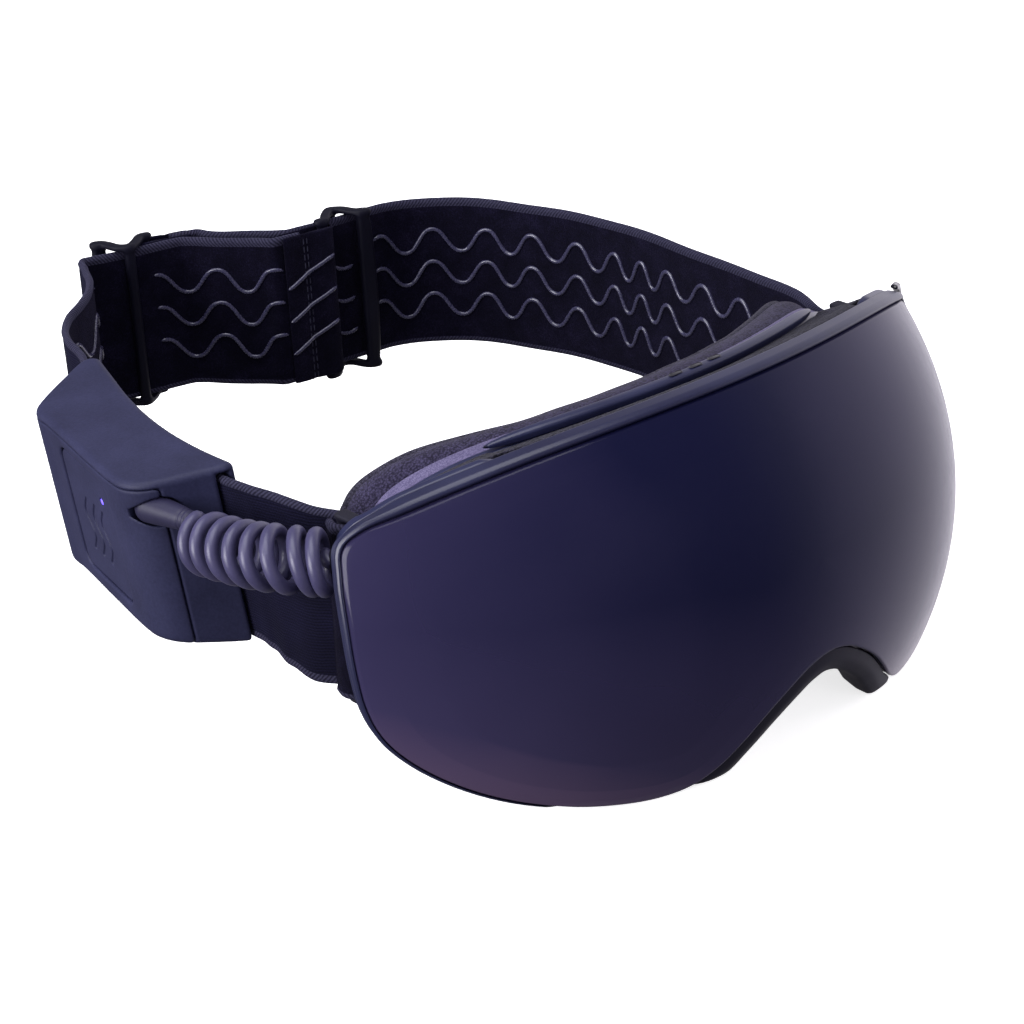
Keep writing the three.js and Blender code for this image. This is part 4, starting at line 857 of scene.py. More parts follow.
def smoothed(node, name, mat, body, h=0.2, sigma=1, grow=0.0, extra=None):
    """The node's own solid with its edges eased: its distance field is smoothed and meshed again."""
    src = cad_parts[node].data
    co = np.empty(len(src.vertices) * 3, np.float32)
    src.vertices.foreach_get("co", co)
    co = co.reshape(-1, 3).astype(float) / MM + DATUM
    src.calc_loop_triangles()
    tr = np.empty(len(src.loop_triangles) * 3, np.int32)
    src.loop_triangles.foreach_get("vertices", tr)
    tr = tr.reshape(-1, 3)
    # merge split vertices
    key, inv = np.unique(np.round(co, 3), axis=0, return_inverse=True)
    tr = inv.reshape(-1)[tr]
    g = openvdb.FloatGrid.createLevelSetFromPolygons(key.astype(np.float32) , triangles=tr.astype(np.uint32),
                                                     transform=openvdb.createLinearTransform(voxelSize=h), halfWidth=4.0)
    (a, b) = g.evalActiveVoxelBoundingBox()
    a = np.array(a) - 2
    b = np.array(b) + 3
    arr = np.full(tuple(b - a), 4 * h, np.float32)
    g.copyToArray(arr, ijk=tuple(int(v) for v in a))
    for _ in range(sigma * 2):
        for k in range(3):
            arr = (np.roll(arr, 1, k) + 2 * arr + np.roll(arr, -1, k)) / 4
    return piece(name, surface(name, arr - grow, a * h, h), mat, body, [node])


smoothed("lens_release_tab", "lens_pull_tab", "gloss", "lens_unit", 0.25, 2)
smoothed("lens_heater_contact", "heater_contact_strip", "brass", "lens_unit", 0.15, 1)

# --- face frame
f, b = frame_f, frame_b
fl = f + FLANGE_T
brow = clamp(periodic((top8 & (np.abs(x8) < 54.5)).astype(float), K))   # where foam lies over the flange
out = lerp(lerp(0.4 - rim_lip + 4.1 * u, 0.9, brow), 0.5, bare)
ch = lerp(lerp(0.7, 0.9, bare), 2.2, vent)
ch0 = np.maximum(ch, out + 2.3 * u)
o4y = np.maximum(b - 2.8, fl + 0.8)


def infull(d, yy):
    return pt(d + inset_b, yy)


S = np.stack([pt(out, f), pt(out + 2.0 * u, fl), pt(ch0, fl + 0.4), lerp(pt(ch0, fl + 0.4), infull(ch, o4y), 0.33), lerp(pt(ch0, fl + 0.4), infull(ch, o4y), 0.66),
              infull(ch, o4y), infull(-0.8, o4y + 0.5), infull(-0.8, b), infull(5.2, b), infull(4.4, np.maximum(b - 4.4, fl - 0.4)), pt(4.4 + 4.2 * u, fl - 0.6), pt(4.2 + 4.0 * u, f)], 1)
V, Fc = loft(fillet(S, [0.7, 0.7, 0.5, 0.5, 0.5, 0.4, 0.5, 0.5, 0.5, 0.6, 0.4, 0.4], 3))
piece("face_frame_moulding", mesh_of("face_frame_moulding", V, Fc), "frame", "frame", ["face_frame"], weighted=True)


# --- face foam: three bonded layers with crowned sides
def foam_ring(name, d0, d1, t0, t1, bulge, mat, node, r, wave=0.0, sink=(0.0, 0.0)):
    rows = 9
    s = np.linspace(0, 1, rows)
    ys = [b + lerp(t0, t1, k) for k in s]
    ripple = wave * np.sin(np.arange(N) / N * 2 * np.pi * 23) * np.sin(np.arange(N) / N * 2 * np.pi * 7 + 1)
    low = clamp(periodic(np.where(top8 & (np.abs(x8) < 62), smooth((62 - np.abs(x8)) / 34.0), 0.0), K))      # along the brow the side falls away rearward
    outer = [infull(d0 + low * lerp(sink[0], sink[1], k) - bulge * 4 * k * (1 - k) - ripple, yy) for k, yy in zip(s, ys)]
    inner = [infull(d1 + 0.5 * bulge * 4 * k * (1 - k), yy) for k, yy in zip(s[::-1], ys[::-1])]
    mid_back = infull((d0 + d1) / 2, ys[-1] + 0.35 * (t1 - t0 > 0))
    S = np.stack(outer + [mid_back] + inner, 1)
    n = S.shape[1]
    rad = np.full(n, 0.05)
    rad[[0, rows - 1, rows + 1, n - 1]] = r
    V, Fc = loft(fillet(S, rad, 3))
    o = piece(name, mesh_of(name, V, Fc), mat, "frame", [node])
    return o


foam_ring("foam_base_pad", -0.55, 6.3, 0.06, 3.75, 0.12, "foam_mid", "foam_base_layer", 0.5)
pad = foam_ring("foam_comfort_pad", -0.1, 7.2, 3.72, 11.3, 0.9, "foam_base", "foam_mid_layer", 0.6, 0.10, (0.1, 2.3))
foam_ring("fleece_lining", 0.1, 7.7, 11.28, 13.1, 0.25, "fleece", "face_fleece", 0.8, 0.12, (2.2, 2.8))


# --- vent foam laid in the frame's channels
def chan(d, yy, idx):
    k = clamp((yy - frame_f[idx] - FLANGE_T - 0.4) / np.maximum(frame_b[idx] - 2.8 - frame_f[idx] - FLANGE_T - 0.4, 0.5))
    return pt(d + inset_b[idx] * k, yy, idx)


def run(mask):
    """Indices of one unbroken run round the outline."""
    i = np.where(mask)[0]
    gap = np.where(np.diff(i) > 1)[0]
    if mask[0] and mask[-1] and len(gap):
        i = np.concatenate([i[gap[0] + 1:] - N, i[:gap[0] + 1]])
    return i


def channel_foam(name, mask, node, dip):
    i = run(mask)
    idx = i % N
    ff = frame_f[idx] + FLANGE_T + 0.55
    bb = np.maximum(frame_b[idx] - 2.95, ff + 1.0)
    fade = smooth((dip - np.abs(F[idx, 0])) / 6.0) if dip else 0.0
    S = np.stack([chan(0.25 + 0.0 * fade, ff, idx), chan(0.15 + 0.35 * fade, lerp(ff, bb, 0.45), idx), chan(0.2 + 1.6 * fade, lerp(ff, bb, 0.62), idx), chan(0.3 + 1.62 * fade, bb, idx),
                  chan(2.1, bb, idx), chan(2.1, ff, idx)], 1)
    V, Fc = loft(fillet(S, 0.35, 3), ring=False)
    return piece(name, mesh_of(name, V, Fc), "vent", "frame", [node])


xs, zs = F.T


def brow_foam():
    """Along the brow it rises level with the rim and laps over the flange; past that it lies in the channel."""
    i = run((zs > 50) & (np.abs(xs) < 72.5))
    idx = i % N
    ax_ = np.abs(F[idx, 0])
    lap = smooth((50.5 - ax_) / 2.5)
    ff, ib_ = frame_f[idx] + FLANGE_T, inset_b[idx]
    bb = np.maximum(frame_b[idx] - 3.0, ff + 1.8)
    rr = lerp(ff + 0.7, edge_y[idx] + RIM_BACK + 0.2, lap)
    top = np.maximum(ib_ - 1.9, -0.6)
    t0 = lerp(-0.4, -1.5, lap)
    step = np.where(ax_ < 54.5, 0.4, 1.7)

    def fl_(yy):
        return 1.8 + ib_ * clamp((yy - ff - 0.4) / np.maximum(frame_b[idx] - 2.8 - ff - 0.4, 0.5))

    def q(d, yy):
        return pt(d, yy, idx)

    pts = [q(t0, rr)]
    for k in (0.12, 0.3, 0.45, 0.6, 0.75, 0.9):      # a shallow trough behind a proud front edge
        dip = lap * 0.75 * smooth((k - 0.42) / 0.12)
        pts.append(q(lerp(t0, top, k) + dip - lap * 0.35 * math.exp(-((k - 0.22) / 0.16) ** 2), lerp(rr, bb, k)))
    pts += [q(top + lap * 0.75, bb), q(fl_(bb), bb), q(fl_(ff + 0.8), ff + 0.8), q(step, ff + 0.75), q(step, rr)]
    S = taper(fillet(np.stack(pts, 1), [0.5] + [0.3] * 6 + [0.3, 0.3, 0.2, 0.2, 0.3], 2), 5)
    V, Fc = loft(S, ring=False)
    return piece("vent_foam_top", mesh_of("vent_foam_top", V, Fc), "vent", "frame", ["top_vent_foam"])


brow_foam()
channel_foam("vent_foam_low_right", (zs < 9) & (xs < -41) & (xs > -60), "bottom_vent_foam_right", 0)
channel_foam("vent_foam_low_left", (zs < 9) & (xs > 41) & (xs < 60), "bottom_vent_foam_left", 0)

# --- brow rail; its three drain slots are not cut: a gloss-black pill laid on the rail stands in for each, painted shade where the hole would be dark
i = run((zs > 60) & (np.abs(xs) < 49.5))
idx = i % N
yy0, yy1 = frame_b[idx] - 2.7, frame_b[idx] + 0.3
S = np.stack([pt(-1.0 + inset_b[idx], yy0, idx), pt(-2.5 + inset_b[idx], yy0 - 0.1, idx), pt(-3.1 + inset_b[idx], yy0 + 0.7, idx), pt(-3.1 + inset_b[idx], yy1 - 0.9, idx),
              pt(-2.6 + inset_b[idx], yy1, idx), pt(-1.0 + inset_b[idx], yy1, idx)], 1)
S = taper(fillet(S, [0.2, 0.6, 0.6, 0.6, 0.6, 0.2], 3), 14)
V, Fc = loft(S, ring=False)
rail = piece("brow_rail", mesh_of("brow_rail", V, Fc), "frame", "frame", ["brow_vent_rail"], weighted=True)
for k, x in enumerate((-5.6, 0.0, 5.6)):
    j = int(np.argmin((xs - x) ** 2 + (zs - top_z(x)) ** 2))
    c = pt(-3.15 + inset_b[[j]], frame_b[[j]] - 1.2, [j])[0]
    n_ = 20
    a = np.linspace(0, 2 * np.pi, n_, endpoint=False)
    ring = np.stack([np.sign(np.cos(a)) * 0.95 + 0.5 * np.cos(a), 0.5 * np.sin(a)], 1)
    tx = unit(np.array([F[(j + 3) % N] - F[(j - 3) % N]]))[0]
    rows = []
    for dep, sc in ((0.16, 1.25), (0.22, 1.1), (0.14, 0.95), (0.06, 0.85), (0.02, 0.6)):
        nrm = np.array([-inw[j][0], 0, -inw[j][1]])
        rows.append(c + nrm * dep + ring[:, :1] * sc * np.array([tx[0], 0, tx[1]]) + ring[:, 1:] * sc * np.array([0, 1.0, 0]))
    V, Fc = loft(np.stack(rows, 0), ring=False)
    # painted shade: a thin gloss-black pill on the rail's face gives the dark of an open slot
    piece(f"rail_slot_shade_patch_{k + 1}", mesh_of(f"rail_slot_shade_patch_{k + 1}", V, Fc), "gloss", "frame")

# --- nose trim
i = run((np.abs(xs) < 33.5) & (zs < 26))
idx = i % N
yy = edge_y[idx]
end = np.minimum(np.arange(len(i)), np.arange(len(i))[::-1]) / K
w = 4.7 * smooth(end / 1.6) + 0.8
S = np.stack([pt(-0.35, yy + 0.9, idx), pt(-0.35 - w * 0.5, yy + 0.75, idx), pt(-0.35 - w, yy + 2.0, idx), pt(-0.35 - w * 0.98, yy + 6.0, idx), pt(-0.35 - w * 0.8, yy + 10.5, idx), pt(-0.35, yy + 10.5, idx)], 1)
S = taper(fillet(S, [0.25, 0.9, 1.2, 0.6, 0.8, 0.2], 4), 5)
V, Fc = loft(S, ring=False)
piece("nose_trim_lip", mesh_of("nose_trim_lip", V, Fc), "rubber", "frame", ["nose_trim"])

# ------------------------------------------------------------------ straps
SL, SR = (-11.5, 227.2, -17.0), (37.4, 204.6, -9.0)
BAR_END, HEM_V, ANCHOR = 5.6, 3.65, (73.6, 64.6)
STRAP_Z0, STRAP_Z1, STRAP_T = 20.0, 60.0, 1.6


def along(s, u, v):
    c, d = math.cos(math.radians(s[2])), math.sin(math.radians(s[2]))
    return [s[0] + c * u + d * v, s[1] + d * u - c * v]


def offset(P, d):
    P = np.asarray(P, float)
    a, b_ = np.vstack([P[:1], P[:-1]]), np.vstack([P[1:], P[-1:]])
    t_ = unit(b_ - a)
    return P + np.stack([-t_[:, 1], t_[:, 0]], 1) * d


inner_face = [[-72.6, 97.0], [-72.6, 106], [-72.2, 114], [-71.2, 123], [-69.1, 134], [-65.8, 146], [-61.8, 157.5], [-57.4, 170]]
in_pack = offset(inner_face, 2.9).tolist()
pack_path = [[-74.6, 76], [-75.3, 84], [-75.5, 92], *in_pack, [-57.4, 177.6], [-55.4, 186.4], [-52.2, 194.6], [-47.2, 201.0], [-40.6, 205.8], [-34.4, 211.4], [-29.2, 218.2],
             [-25.6, 225.4], along(SL, -11.0, 0), along(SL, 0, 0), along(SL, 13.5, 0), [8.2, 215.4], [13.0, 209.8], along(SR, -BAR_END - 13.2, HEM_V), along(SR, -BAR_END - 6.9, HEM_V)]
far_path = [[76.0, 79], [78.6, 96], [79.6, 113], [80.8, 131], [80.8, 147], [79.3, 160], [76.3, 172], [72.2, 183], [66, 192.5], [58.5, 199.2],
            along(SR, 13.5, 0), along(SR, 0, 0), along(SR, -13.5, 0), [16.6, 214.4], [11.0, 220.0], along(SL, BAR_END + 13.2, -HEM_V), along(SL, BAR_END + 6.9, -HEM_V)]


def straighten(pts, s, u0, u1, v):
    c, d = math.cos(math.radians(s[2])), math.sin(math.radians(s[2]))
    dx, dy = pts[:, 0] - s[0], pts[:, 1] - s[1]
    u, w_ = dx * c + dy * d, dx * d - dy * c
    k = np.minimum((u - u0 + 3) / 3, (u1 + 3 - u) / 3)
    k = np.where((k > 0) & (np.abs(w_ - v) <= 3), smooth(k), 0.0)
    w2 = lerp(w_, v, k)
    return np.stack([s[0] + c * u + d * w2, s[1] + d * u - c * w2], 1)


def lean_at(yv):
    keys = np.array([[60, 0.0], [68, -0.15], [76, -0.5], [84, -0.1], [92, 0.7], [97, 1], [171, 1], [184, 0.5], [200, 0], [260, 0]])
    k = np.clip(np.searchsorted(keys[:, 0], yv) - 1, 0, len(keys) - 2)
    y0, w0, y1, w1 = keys[k, 0], keys[k, 1], keys[k + 1, 0], keys[k + 1, 1]
    return w0 + (w1 - w0) * smooth((yv - y0) / (y1 - y0))


def lean(V):
    w_ = lean_at(V[:, 1])[:, None]
    w_ = np.where(V[:, :1] > -40, 0, w_)
    return V * (1 - w_) + app(M_TILT, V) * w_


def hook(side):
    """The strap's end, wrapped round the anchor bar."""
    q = [[1.7, 3.2], [2.7, 0.2], [1.6, -2.3], [-0.6, -2.7], [-2.4, -1.4], [-2.7, 1.0], [-1.9, 4.2]]
    return [[side * (ANCHOR[0] + a_), ANCHOR[1] + b_] for a_, b_ in q]


PACK_HOOK, FAR_HOOK = hook(-1), hook(1)
pack_line = catmull(PACK_HOOK + pack_path, 330)
pack_line = straighten(straighten(pack_line, SL, -11, 12.5, 0), SR, -BAR_END - 13.4, -BAR_END - 4, HEM_V)
far_line = catmull(FAR_HOOK + far_path, 300)
far_line = straighten(straighten(far_line, SR, -12.5, 12.5, 0), SL, BAR_END + 4, BAR_END + 13.4, -HEM_V)


def tube_rows(P, nrm_side, prof):
    """P (n, 2) plan line; prof (m, 2) of (offset to the outer side, z)."""
    a, b_ = np.vstack([P[:1], P[:-1]]), np.vstack([P[1:], P[-1:]])
    t_ = unit(b_ - a)
    nrm = np.stack([-t_[:, 1], t_[:, 0]], 1) * nrm_side
    X = P[:, None, 0] + nrm[:, None, 0] * prof[None, :, 0]
    Y = P[:, None, 1] + nrm[:, None, 1] * prof[None, :, 0]
    Z = np.broadcast_to(prof[None, :, 1], X.shape)
    return np.stack([X, Y, Z], -1)


def strap(name, P, outer, leaning, node):
    h = STRAP_T / 2
    zz = np.concatenate([[20.35, 20.9, 21.5, 22.1, 22.7], np.linspace(24, 56, 17), [57.3, 57.9, 58.5, 59.1, 59.65]])
    bind = 1 + 0.16 * np.exp(-((np.minimum(zz - 20, 60 - zz) - 1.0) / 0.45) ** 2) - 0.16 * np.exp(-((np.minimum(zz - 20, 60 - zz) - 2.0) / 0.35) ** 2)
    bind[[0, -1]] = 0.78
    front = np.stack([h * bind, zz], 1)
    back = np.stack([-h * bind[::-1], zz[::-1]], 1)
    prof = np.vstack([front, [[0.35 * h, 59.97], [-0.35 * h, 59.97]], back, [[-0.35 * h, 20.03], [0.35 * h, 20.03]]])
    S = tube_rows(P, outer, prof)
    L = np.concatenate([[0], np.cumsum(np.linalg.norm(np.diff(P, axis=0), axis=1))])
    S[..., 2] += (0.16 * np.sin(L / 11.0) + 0.10 * np.sin(L / 4.3 + 1))[:, None] * np.where(np.abs(S[..., 2] - 40) > 15, 1, 0.3)
    n, m = S.shape[:2]
    uv = np.stack([np.broadcast_to(L[:, None], (n, m)), S[..., 2]], -1).reshape(-1, 2)
    V, Fc = loft(S, ring=False)
    if leaning:
        V = lean(V)
    j = np.tile(np.arange(m), n - 1)
    nf = len(front)
    z_mid = prof[:, 1][j]
    mi = np.where(np.abs(z_mid - 40) > 18.2, 2, np.where(j < nf, 0, 1))
    mi = np.concatenate([mi, [2, 2]])
    o = piece(name, mesh_of(name, V, Fc, uv, mi), ["outer", "inner", "edge"], "frame", [node])
    return o, L


pack_strap, pack_L = strap("strap_right_webbing", pack_line, 1, True, "strap_pack_side")
far_strap, far_L = strap("strap_left_webbing", far_line, -1, False, "strap_far_side")


# --- silicone beads: three wavy lines on the strap's inside
def bead_mesh(paths, leaning):
    """paths: list of (centre points (n, 3), surface normals (n, 3))."""
    VV, FF, base = [], [], 0
    for C, Nn in paths:
        T = unit(np.gradient(C, axis=0))
        B = unit(np.cross(T, Nn))
        Nn = unit(np.cross(B, T))
        n = len(C)
        endk = np.minimum(np.arange(n), np.arange(n)[::-1])
        sc = np.sqrt(1 - (1 - np.minimum(endk / 3.0, 1) * 0.97) ** 2)
        rip = 1 + 0.05 * np.sin(np.arange(n) * 0.9)
        a = np.linspace(0, 2 * np.pi, 12, endpoint=False)
        S = C[:, None] + (0.52 * sc * rip)[:, None, None] * np.cos(a)[None, :, None] * B[:, None] + (0.46 * sc)[:, None, None] * np.sin(a)[None, :, None] * Nn[:, None]
        V, Fc = loft(S, ring=False)
        VV.append(V)
        FF.append([x + base for x in Fc])
        base += len(V)
    V = np.vstack(VV)
    if leaning:
        V = lean(V)
    quads = np.vstack([f_[0] for f_ in FF])
    caps = np.vstack([np.vstack(f_[1:]) for f_ in FF])
    return V, [quads, caps]


def wave_on(P, inner_side, s0, s1, crests, amp=3.2, step=0.5):
    """crests: arc lengths of the tops of the waves, on the middle line."""
    L = np.concatenate([[0], np.cumsum(np.linalg.norm(np.diff(P, axis=0), axis=1))])
    a, b_ = np.vstack([P[:1], P[:-1]]), np.vstack([P[1:], P[-1:]])
    t_ = unit(b_ - a)
    nrm = np.stack([-t_[:, 1], t_[:, 0]], 1) * inner_side
    s = np.arange(s0, s1, step)
    crests = np.asarray(crests, float)
    turn = np.arange(len(crests))
    # carry the first and last spacing on past the ends
    c = np.concatenate([[crests[0] - 2 * (crests[1] - crests[0])], crests, [crests[-1] + 2 * (crests[-1] - crests[-2])]])
    k = np.concatenate([[-2], turn, [turn[-1] + 2]])
    phase = catmull(np.stack([c, k], 1), 1500)
    q0 = 2 * np.pi * np.interp(s, phase[:, 0], phase[:, 1])
    out_ = []
    for zc in (31.0, 39.9, 48.8):
        q = q0 + (zc - 40) * 0.012
        z = zc + amp * (np.cos(q) - 0.05 * np.cos(3 * q))
        x, y_ = np.interp(s, L, P[:, 0]), np.interp(s, L, P[:, 1])
        nx, ny = np.interp(s, L, nrm[:, 0]), np.interp(s, L, nrm[:, 1])
        hgt = STRAP_T / 2 + 0.12
        C = np.stack([x + nx * hgt, y_ + ny * hgt, z], 1)
        out_.append((C, np.stack([nx, ny, np.zeros_like(nx)], 1)))
    return out_


# where a camera column meets a strap's plan line: used to set the waves' crests
def crest_arcs(P, L, cols, z, lo=None, hi=None):
    X = W(np.stack([P[:, 0], P[:, 1], np.full(len(P), z)], 1)) - np.array(pos)
    u = 512 + 1024 * 101.9 / 36.0 * (X @ np.array(right)) / (X @ np.array(fwd))
    sel = np.ones(len(P), bool) if lo is None else (L >= lo) & (L <= hi)
    out_ = [L[sel][np.argmin(np.abs(u[sel] - c_))] for c_ in cols]
    return sorted(float(v) for v in out_)


def arc_at(P, L, q):
    return float(L[np.argmin(np.hypot(P[:, 0] - q[0], P[:, 1] - q[1]))])


sp1 = arc_at(pack_line, pack_L, [-57.0, 179.5])
sp2 = arc_at(pack_line, pack_L, along(SL, -9.5, 0))
sp3 = arc_at(pack_line, pack_L, along(SL, 6.0, 0))
mid_c = crest_arcs(pack_line, pack_L, (155.0, 220.0, 276.0), 52.0, sp3 - 8, pack_L[-1])
V, Fc = bead_mesh(wave_on(pack_line, -1, sp1, sp2, [sp1 + 6, sp1 + 25]) + wave_on(pack_line, -1, sp3, pack_L[-1] - 5.6, mid_c), True)
beads = piece("strap_right_grip_beads", mesh_of("strap_right_grip_beads", V, Fc), "bead", "frame")
sf0, sf1 = arc_at(far_line, far_L, [78.2, 92.0]), arc_at(far_line, far_L, along(SR, 10.2, 0))
sf2, sf3 = arc_at(far_line, far_L, along(SR, 3.6, 0)), arc_at(far_line, far_L, along(SR, -2.2, 0))
far_c = crest_arcs(far_line, far_L, (377.0, 432.0, 487.2, 533.4, 577.3, 614.9, 642.3, 668.8, 704.0, 742.0), 52.0)
print("crests", [round(v, 1) for v in mid_c], [round(v, 1) for v in far_c], round(sf0, 1), round(sf1, 1), round(sf2, 1), round(sf3, 1), round(sp3, 1))
over_bar = wave_on(far_line, 1, sf2, sf3, [sf2 + 12, sf2 + 31])
V, Fc = bead_mesh(wave_on(far_line, 1, sf0, sf1, far_c) + over_bar, False)
piece("strap_left_grip_beads", mesh_of("strap_left_grip_beads", V, Fc), "bead", "frame")


# ------------------------------------------------------------------ sliders and hems, each in its own frame
def group(s, flip):
    return mat4(Matrix.Translation((s[0], s[1], 0)) @ Matrix.Rotation(math.radians(s[2] + (180 if flip else 0)), 4, "Z"))


def hem_half(x):
    """Half thickness of the folded hem: full round the bar, pinched at the seam."""
    x0 = -BAR_END
    u = x0 - x
    return np.interp(u, [-3.0, 0.0, 2.2, 4.2, 5.5, 6.1, 6.7, 8.2, 11.0, 12.4], [2.45, 2.6, 2.5, 2.15, 1.9, 1.78, 1.88, 2.05, 1.95, 1.72])


def make_slider(tag, s, flip, body):
    M = group(s, flip)
    X, Y, Z, o, h = field((-9.5, -7.0, 17.5), (9.8, 5.0, 62.5), 0.2)
    bulge = 7.2 + 1.5 * np.sqrt(np.maximum(1 - ((Z - 40) / 21.5) ** 2, 0))
    d = rbox(X, Y, Z, (-BAR_END, -HEM_V, 40), (2.6, 2.2, 42.2), 0.95)
    d = smin(d, rbox(X, Y, Z, (0, 2.15, 40), (2.6, 2.2, 42.2), 0.95), 0.5)
    q = [np.abs(X - (4.4 + bulge) / 2) - (bulge - 4.4) / 2 + 1.0, np.abs(Y + 4.05) - 1.3 + 1.0, np.abs(Z - 40) - 21.3 + 1.0]
    ob = np.sqrt(np.maximum(q[0], 0) ** 2 + np.maximum(q[1], 0) ** 2 + np.maximum(q[2], 0) ** 2) + np.minimum(np.maximum(np.maximum(q[0], q[1]), q[2]), 0) - 1.0
    d = smin(d, ob, 0.5)
    midline = catmull([[-BAR_END - 0.9, -HEM_V], [-BAR_END + 0.8, -HEM_V + 0.3], [-2.6, -0.4], [0, 2.0], [2.4, 0.9], [4.8, -3.2], [7.0, -4.25]], 24)
    ld = line_dist(midline, X, Y) - 1.35
    for z0, z1 in ((60.35, 61.8), (18.2, 19.65)):
        d = smin(d, extrude(ld, Z, z0, z1, 0.6), 1.3)
    name = f"strap_slider_{tag}"
    piece(name, surface(name, d, o, h, M), "slider", body, [f"slider_{tag}_side"])
    # the hem folded round the slider's end bar
    x0, yc = -BAR_END, -HEM_V
    X, Y, Z, o, h = field((x0 - 13.0, yc - 3.2, 19.5), (x0 + 3.2, yc + 3.2, 60.5), 0.2)
    th = hem_half(X)
    dy = np.abs(Y - yc)
    cap = np.hypot(np.maximum(X - x0, 0), dy) - 2.6
    d2 = np.where(X > x0, cap, dy - th)
    d2 = np.maximum(d2, (x0 - 12.4) - X)
    wav = 0.12 * np.sin(X * 1.3) + 0.1
    d = extrude(d2 + 0 * Z, Z, 20.05 + 0 * wav, 59.95, 0.5)
    hollow = np.maximum(dy - 1.3, X - (x0 + 1.6))
    d = smax(d, -hollow, 0.3)
    name = f"strap_hem_{tag}"
    me = surface(name, d, o, h, M)
    co = np.empty(len(me.vertices) * 3, np.float32)
    me.vertices.foreach_get("co", co)
    loc = (co.reshape(-1, 3).astype(float) / MM + DATUM)
    loc = (loc - M[:3, 3]) @ M[:3, :3]
    layer = me.uv_layers.new(name="UVMap")
    li = np.empty(len(me.loops), np.int32)
    me.loops.foreach_get("vertex_index", li)
    layer.data.foreach_set("uv", loc[li][:, [0, 2]].astype(np.float32).ravel())
    hem = piece(name, me, ["inner" if tag == "far" else "outer", "edge"], body, [f"strap_hem_{tag}_side"])
    # two rows of stitches across it
    C, D = [], []
    for u in (5.75, 6.75):
        for z in np.arange(21.3, 58.9, 2.15):
            for sgn in (-1, 1):
                C.append([x0 - u, yc + sgn * (float(hem_half(np.array(x0 - u))) + 0.05), z])
                D.append([0, 0, 1.0])
    V, Fc, base = [], [], 0
    a = np.linspace(0, 2 * np.pi, 8, endpoint=False)
    for c_, d_ in zip(np.array(C), np.array(D)):
        rows = [c_ + np.stack([0.17 * r_ * np.cos(a), 0.14 * r_ * np.sin(a), np.full(8, zz_)], 1) for zz_, r_ in ((-0.78, 0.3), (-0.66, 0.8), (-0.35, 1), (0, 1.05), (0.35, 1), (0.66, 0.8), (0.78, 0.3))]
        v, f_ = loft(np.stack(rows, 0), ring=False)
        V.append(v)
        Fc.append([x + base for x in f_])
        base += len(v)
    V = app(M, np.vstack(V))
    name = f"hem_stitches_{tag}"
    piece(name, mesh_of(name, V, [np.vstack([x[0] for x in Fc]), np.vstack([np.vstack(x[1:]) for x in Fc])]), "thread", body)
    if tag == "far":   # the grip beads carry on over the fold, on the head side
        paths = []
        for zc in (31.0, 39.9, 48.8):
            u = np.arange(12.2, -2.0, -0.4)
            xx = x0 - u
            z = zc + np.interp(u, [-2.4, 0.0, 6.2, 12.4], [4.2, 3.4, 0.6, -3.0])
            z = np.convolve(np.pad(z, 3, mode="edge"), np.ones(7) / 7, "valid")
            yy_ = yc - hem_half(xx) * np.where(xx > x0, np.sqrt(np.maximum(1 - ((xx - x0) / 2.6) ** 2, 0)), 1) - 0.1
            Cc = app(M, np.stack([xx, yy_, z], 1))
            paths.append((Cc, np.tile(M[:3, :3] @ np.array([0, -1.0, 0]), (len(Cc), 1))))
        V, Fc = bead_mesh(paths, False)
        piece("hem_grip_beads", mesh_of("hem_grip_beads", V, Fc), "bead", body)


make_slider("far", SR, False, "far_slider")
make_slider("pack", SL, True, "pack_slider")
smoothed("strap_anchor_left", "strap_anchor_bar_left", "rubber", "frame", 0.2, 2)
smoothed("strap_anchor_right", "strap_anchor_bar_right", "rubber", "frame", 0.2, 2)

# ------------------------------------------------------------------ heater pack
inner_line = catmull([[-72.6, 99.0], [-72.6, 106], [-72.2, 114], [-71.2, 123], [-69.1, 134], [-65.8, 146], [-61.8, 157.5], [-58.4, 167.2]], 60)
outer_line = catmull([[-59.2, 169.2], [-61.2, 169.9], [-70.0, 166.2], [-78.6, 161.6], [-81.6, 159.4], [-83.4, 156.4], [-84.2, 151.5], [-88.2, 134.0], [-91.9, 117.0],
                      [-92.3, 112.6], [-91.2, 108.9], [-88.8, 106.0], [-86.0, 104.2], [-80.4, 101.0], [-74.8, 97.9], [-73.2, 98.0]], 150)
pack_poly = to_pack(np.vstack([inner_line, outer_line]))
Z0, Z1, SLOPE = -21.2, 22.2, 0.26
seam = catmull([[-86.4, 92], [-87.1, 103.6], [-87.6, 107.4], [-88.5, 110.6], [-89.1, 113.6], [-88.9, 116.6], [-85.0, 134.0], [-81.0, 152.6], [-80.2, 155.6], [-77.6, 158.2], [-76.0, 166]], 90)
band_poly = to_pack(np.vstack([seam, [[-84, 178], [-112, 160], [-112, 100], [-90, 86]]]))
LID = Z1 - 1.7
slot_line = to_pack(catmull([[-75.5, 88], *in_pack, [-56.6, 180]], 60))
cav = offset(inner_line, 5.9)
cav = cav[(cav[:, 1] > 108) & (cav[:, 1] < 161)]
cav_poly = to_pack(np.vstack([cav, [[-78.2, 157.6], [-96, 156], [-96, 110.6], [-84.6, 110.2]]]))


def base_z(v):
    return Z0 + (v + 19) * SLOPE


PORT_U, PORT_V = 6.0, -9.6
PORT = mat4(Matrix.Translation((PORT_U, PORT_V, base_z(PORT_V))) @ Matrix.Rotation(math.atan(SLOPE), 4, "X"))
PORT_INV = np.linalg.inv(PORT)


def port_local(X, Y, Z):
    return [PORT_INV[k, 0] * X + PORT_INV[k, 1] * Y + PORT_INV[k, 2] * Z + PORT_INV[k, 3] for k in range(3)]


def stadium(x, y, w, h_):
    qx = np.maximum(np.abs(x) - (w - h_) / 2, 0)
    return np.hypot(qx, y) - h_ / 2


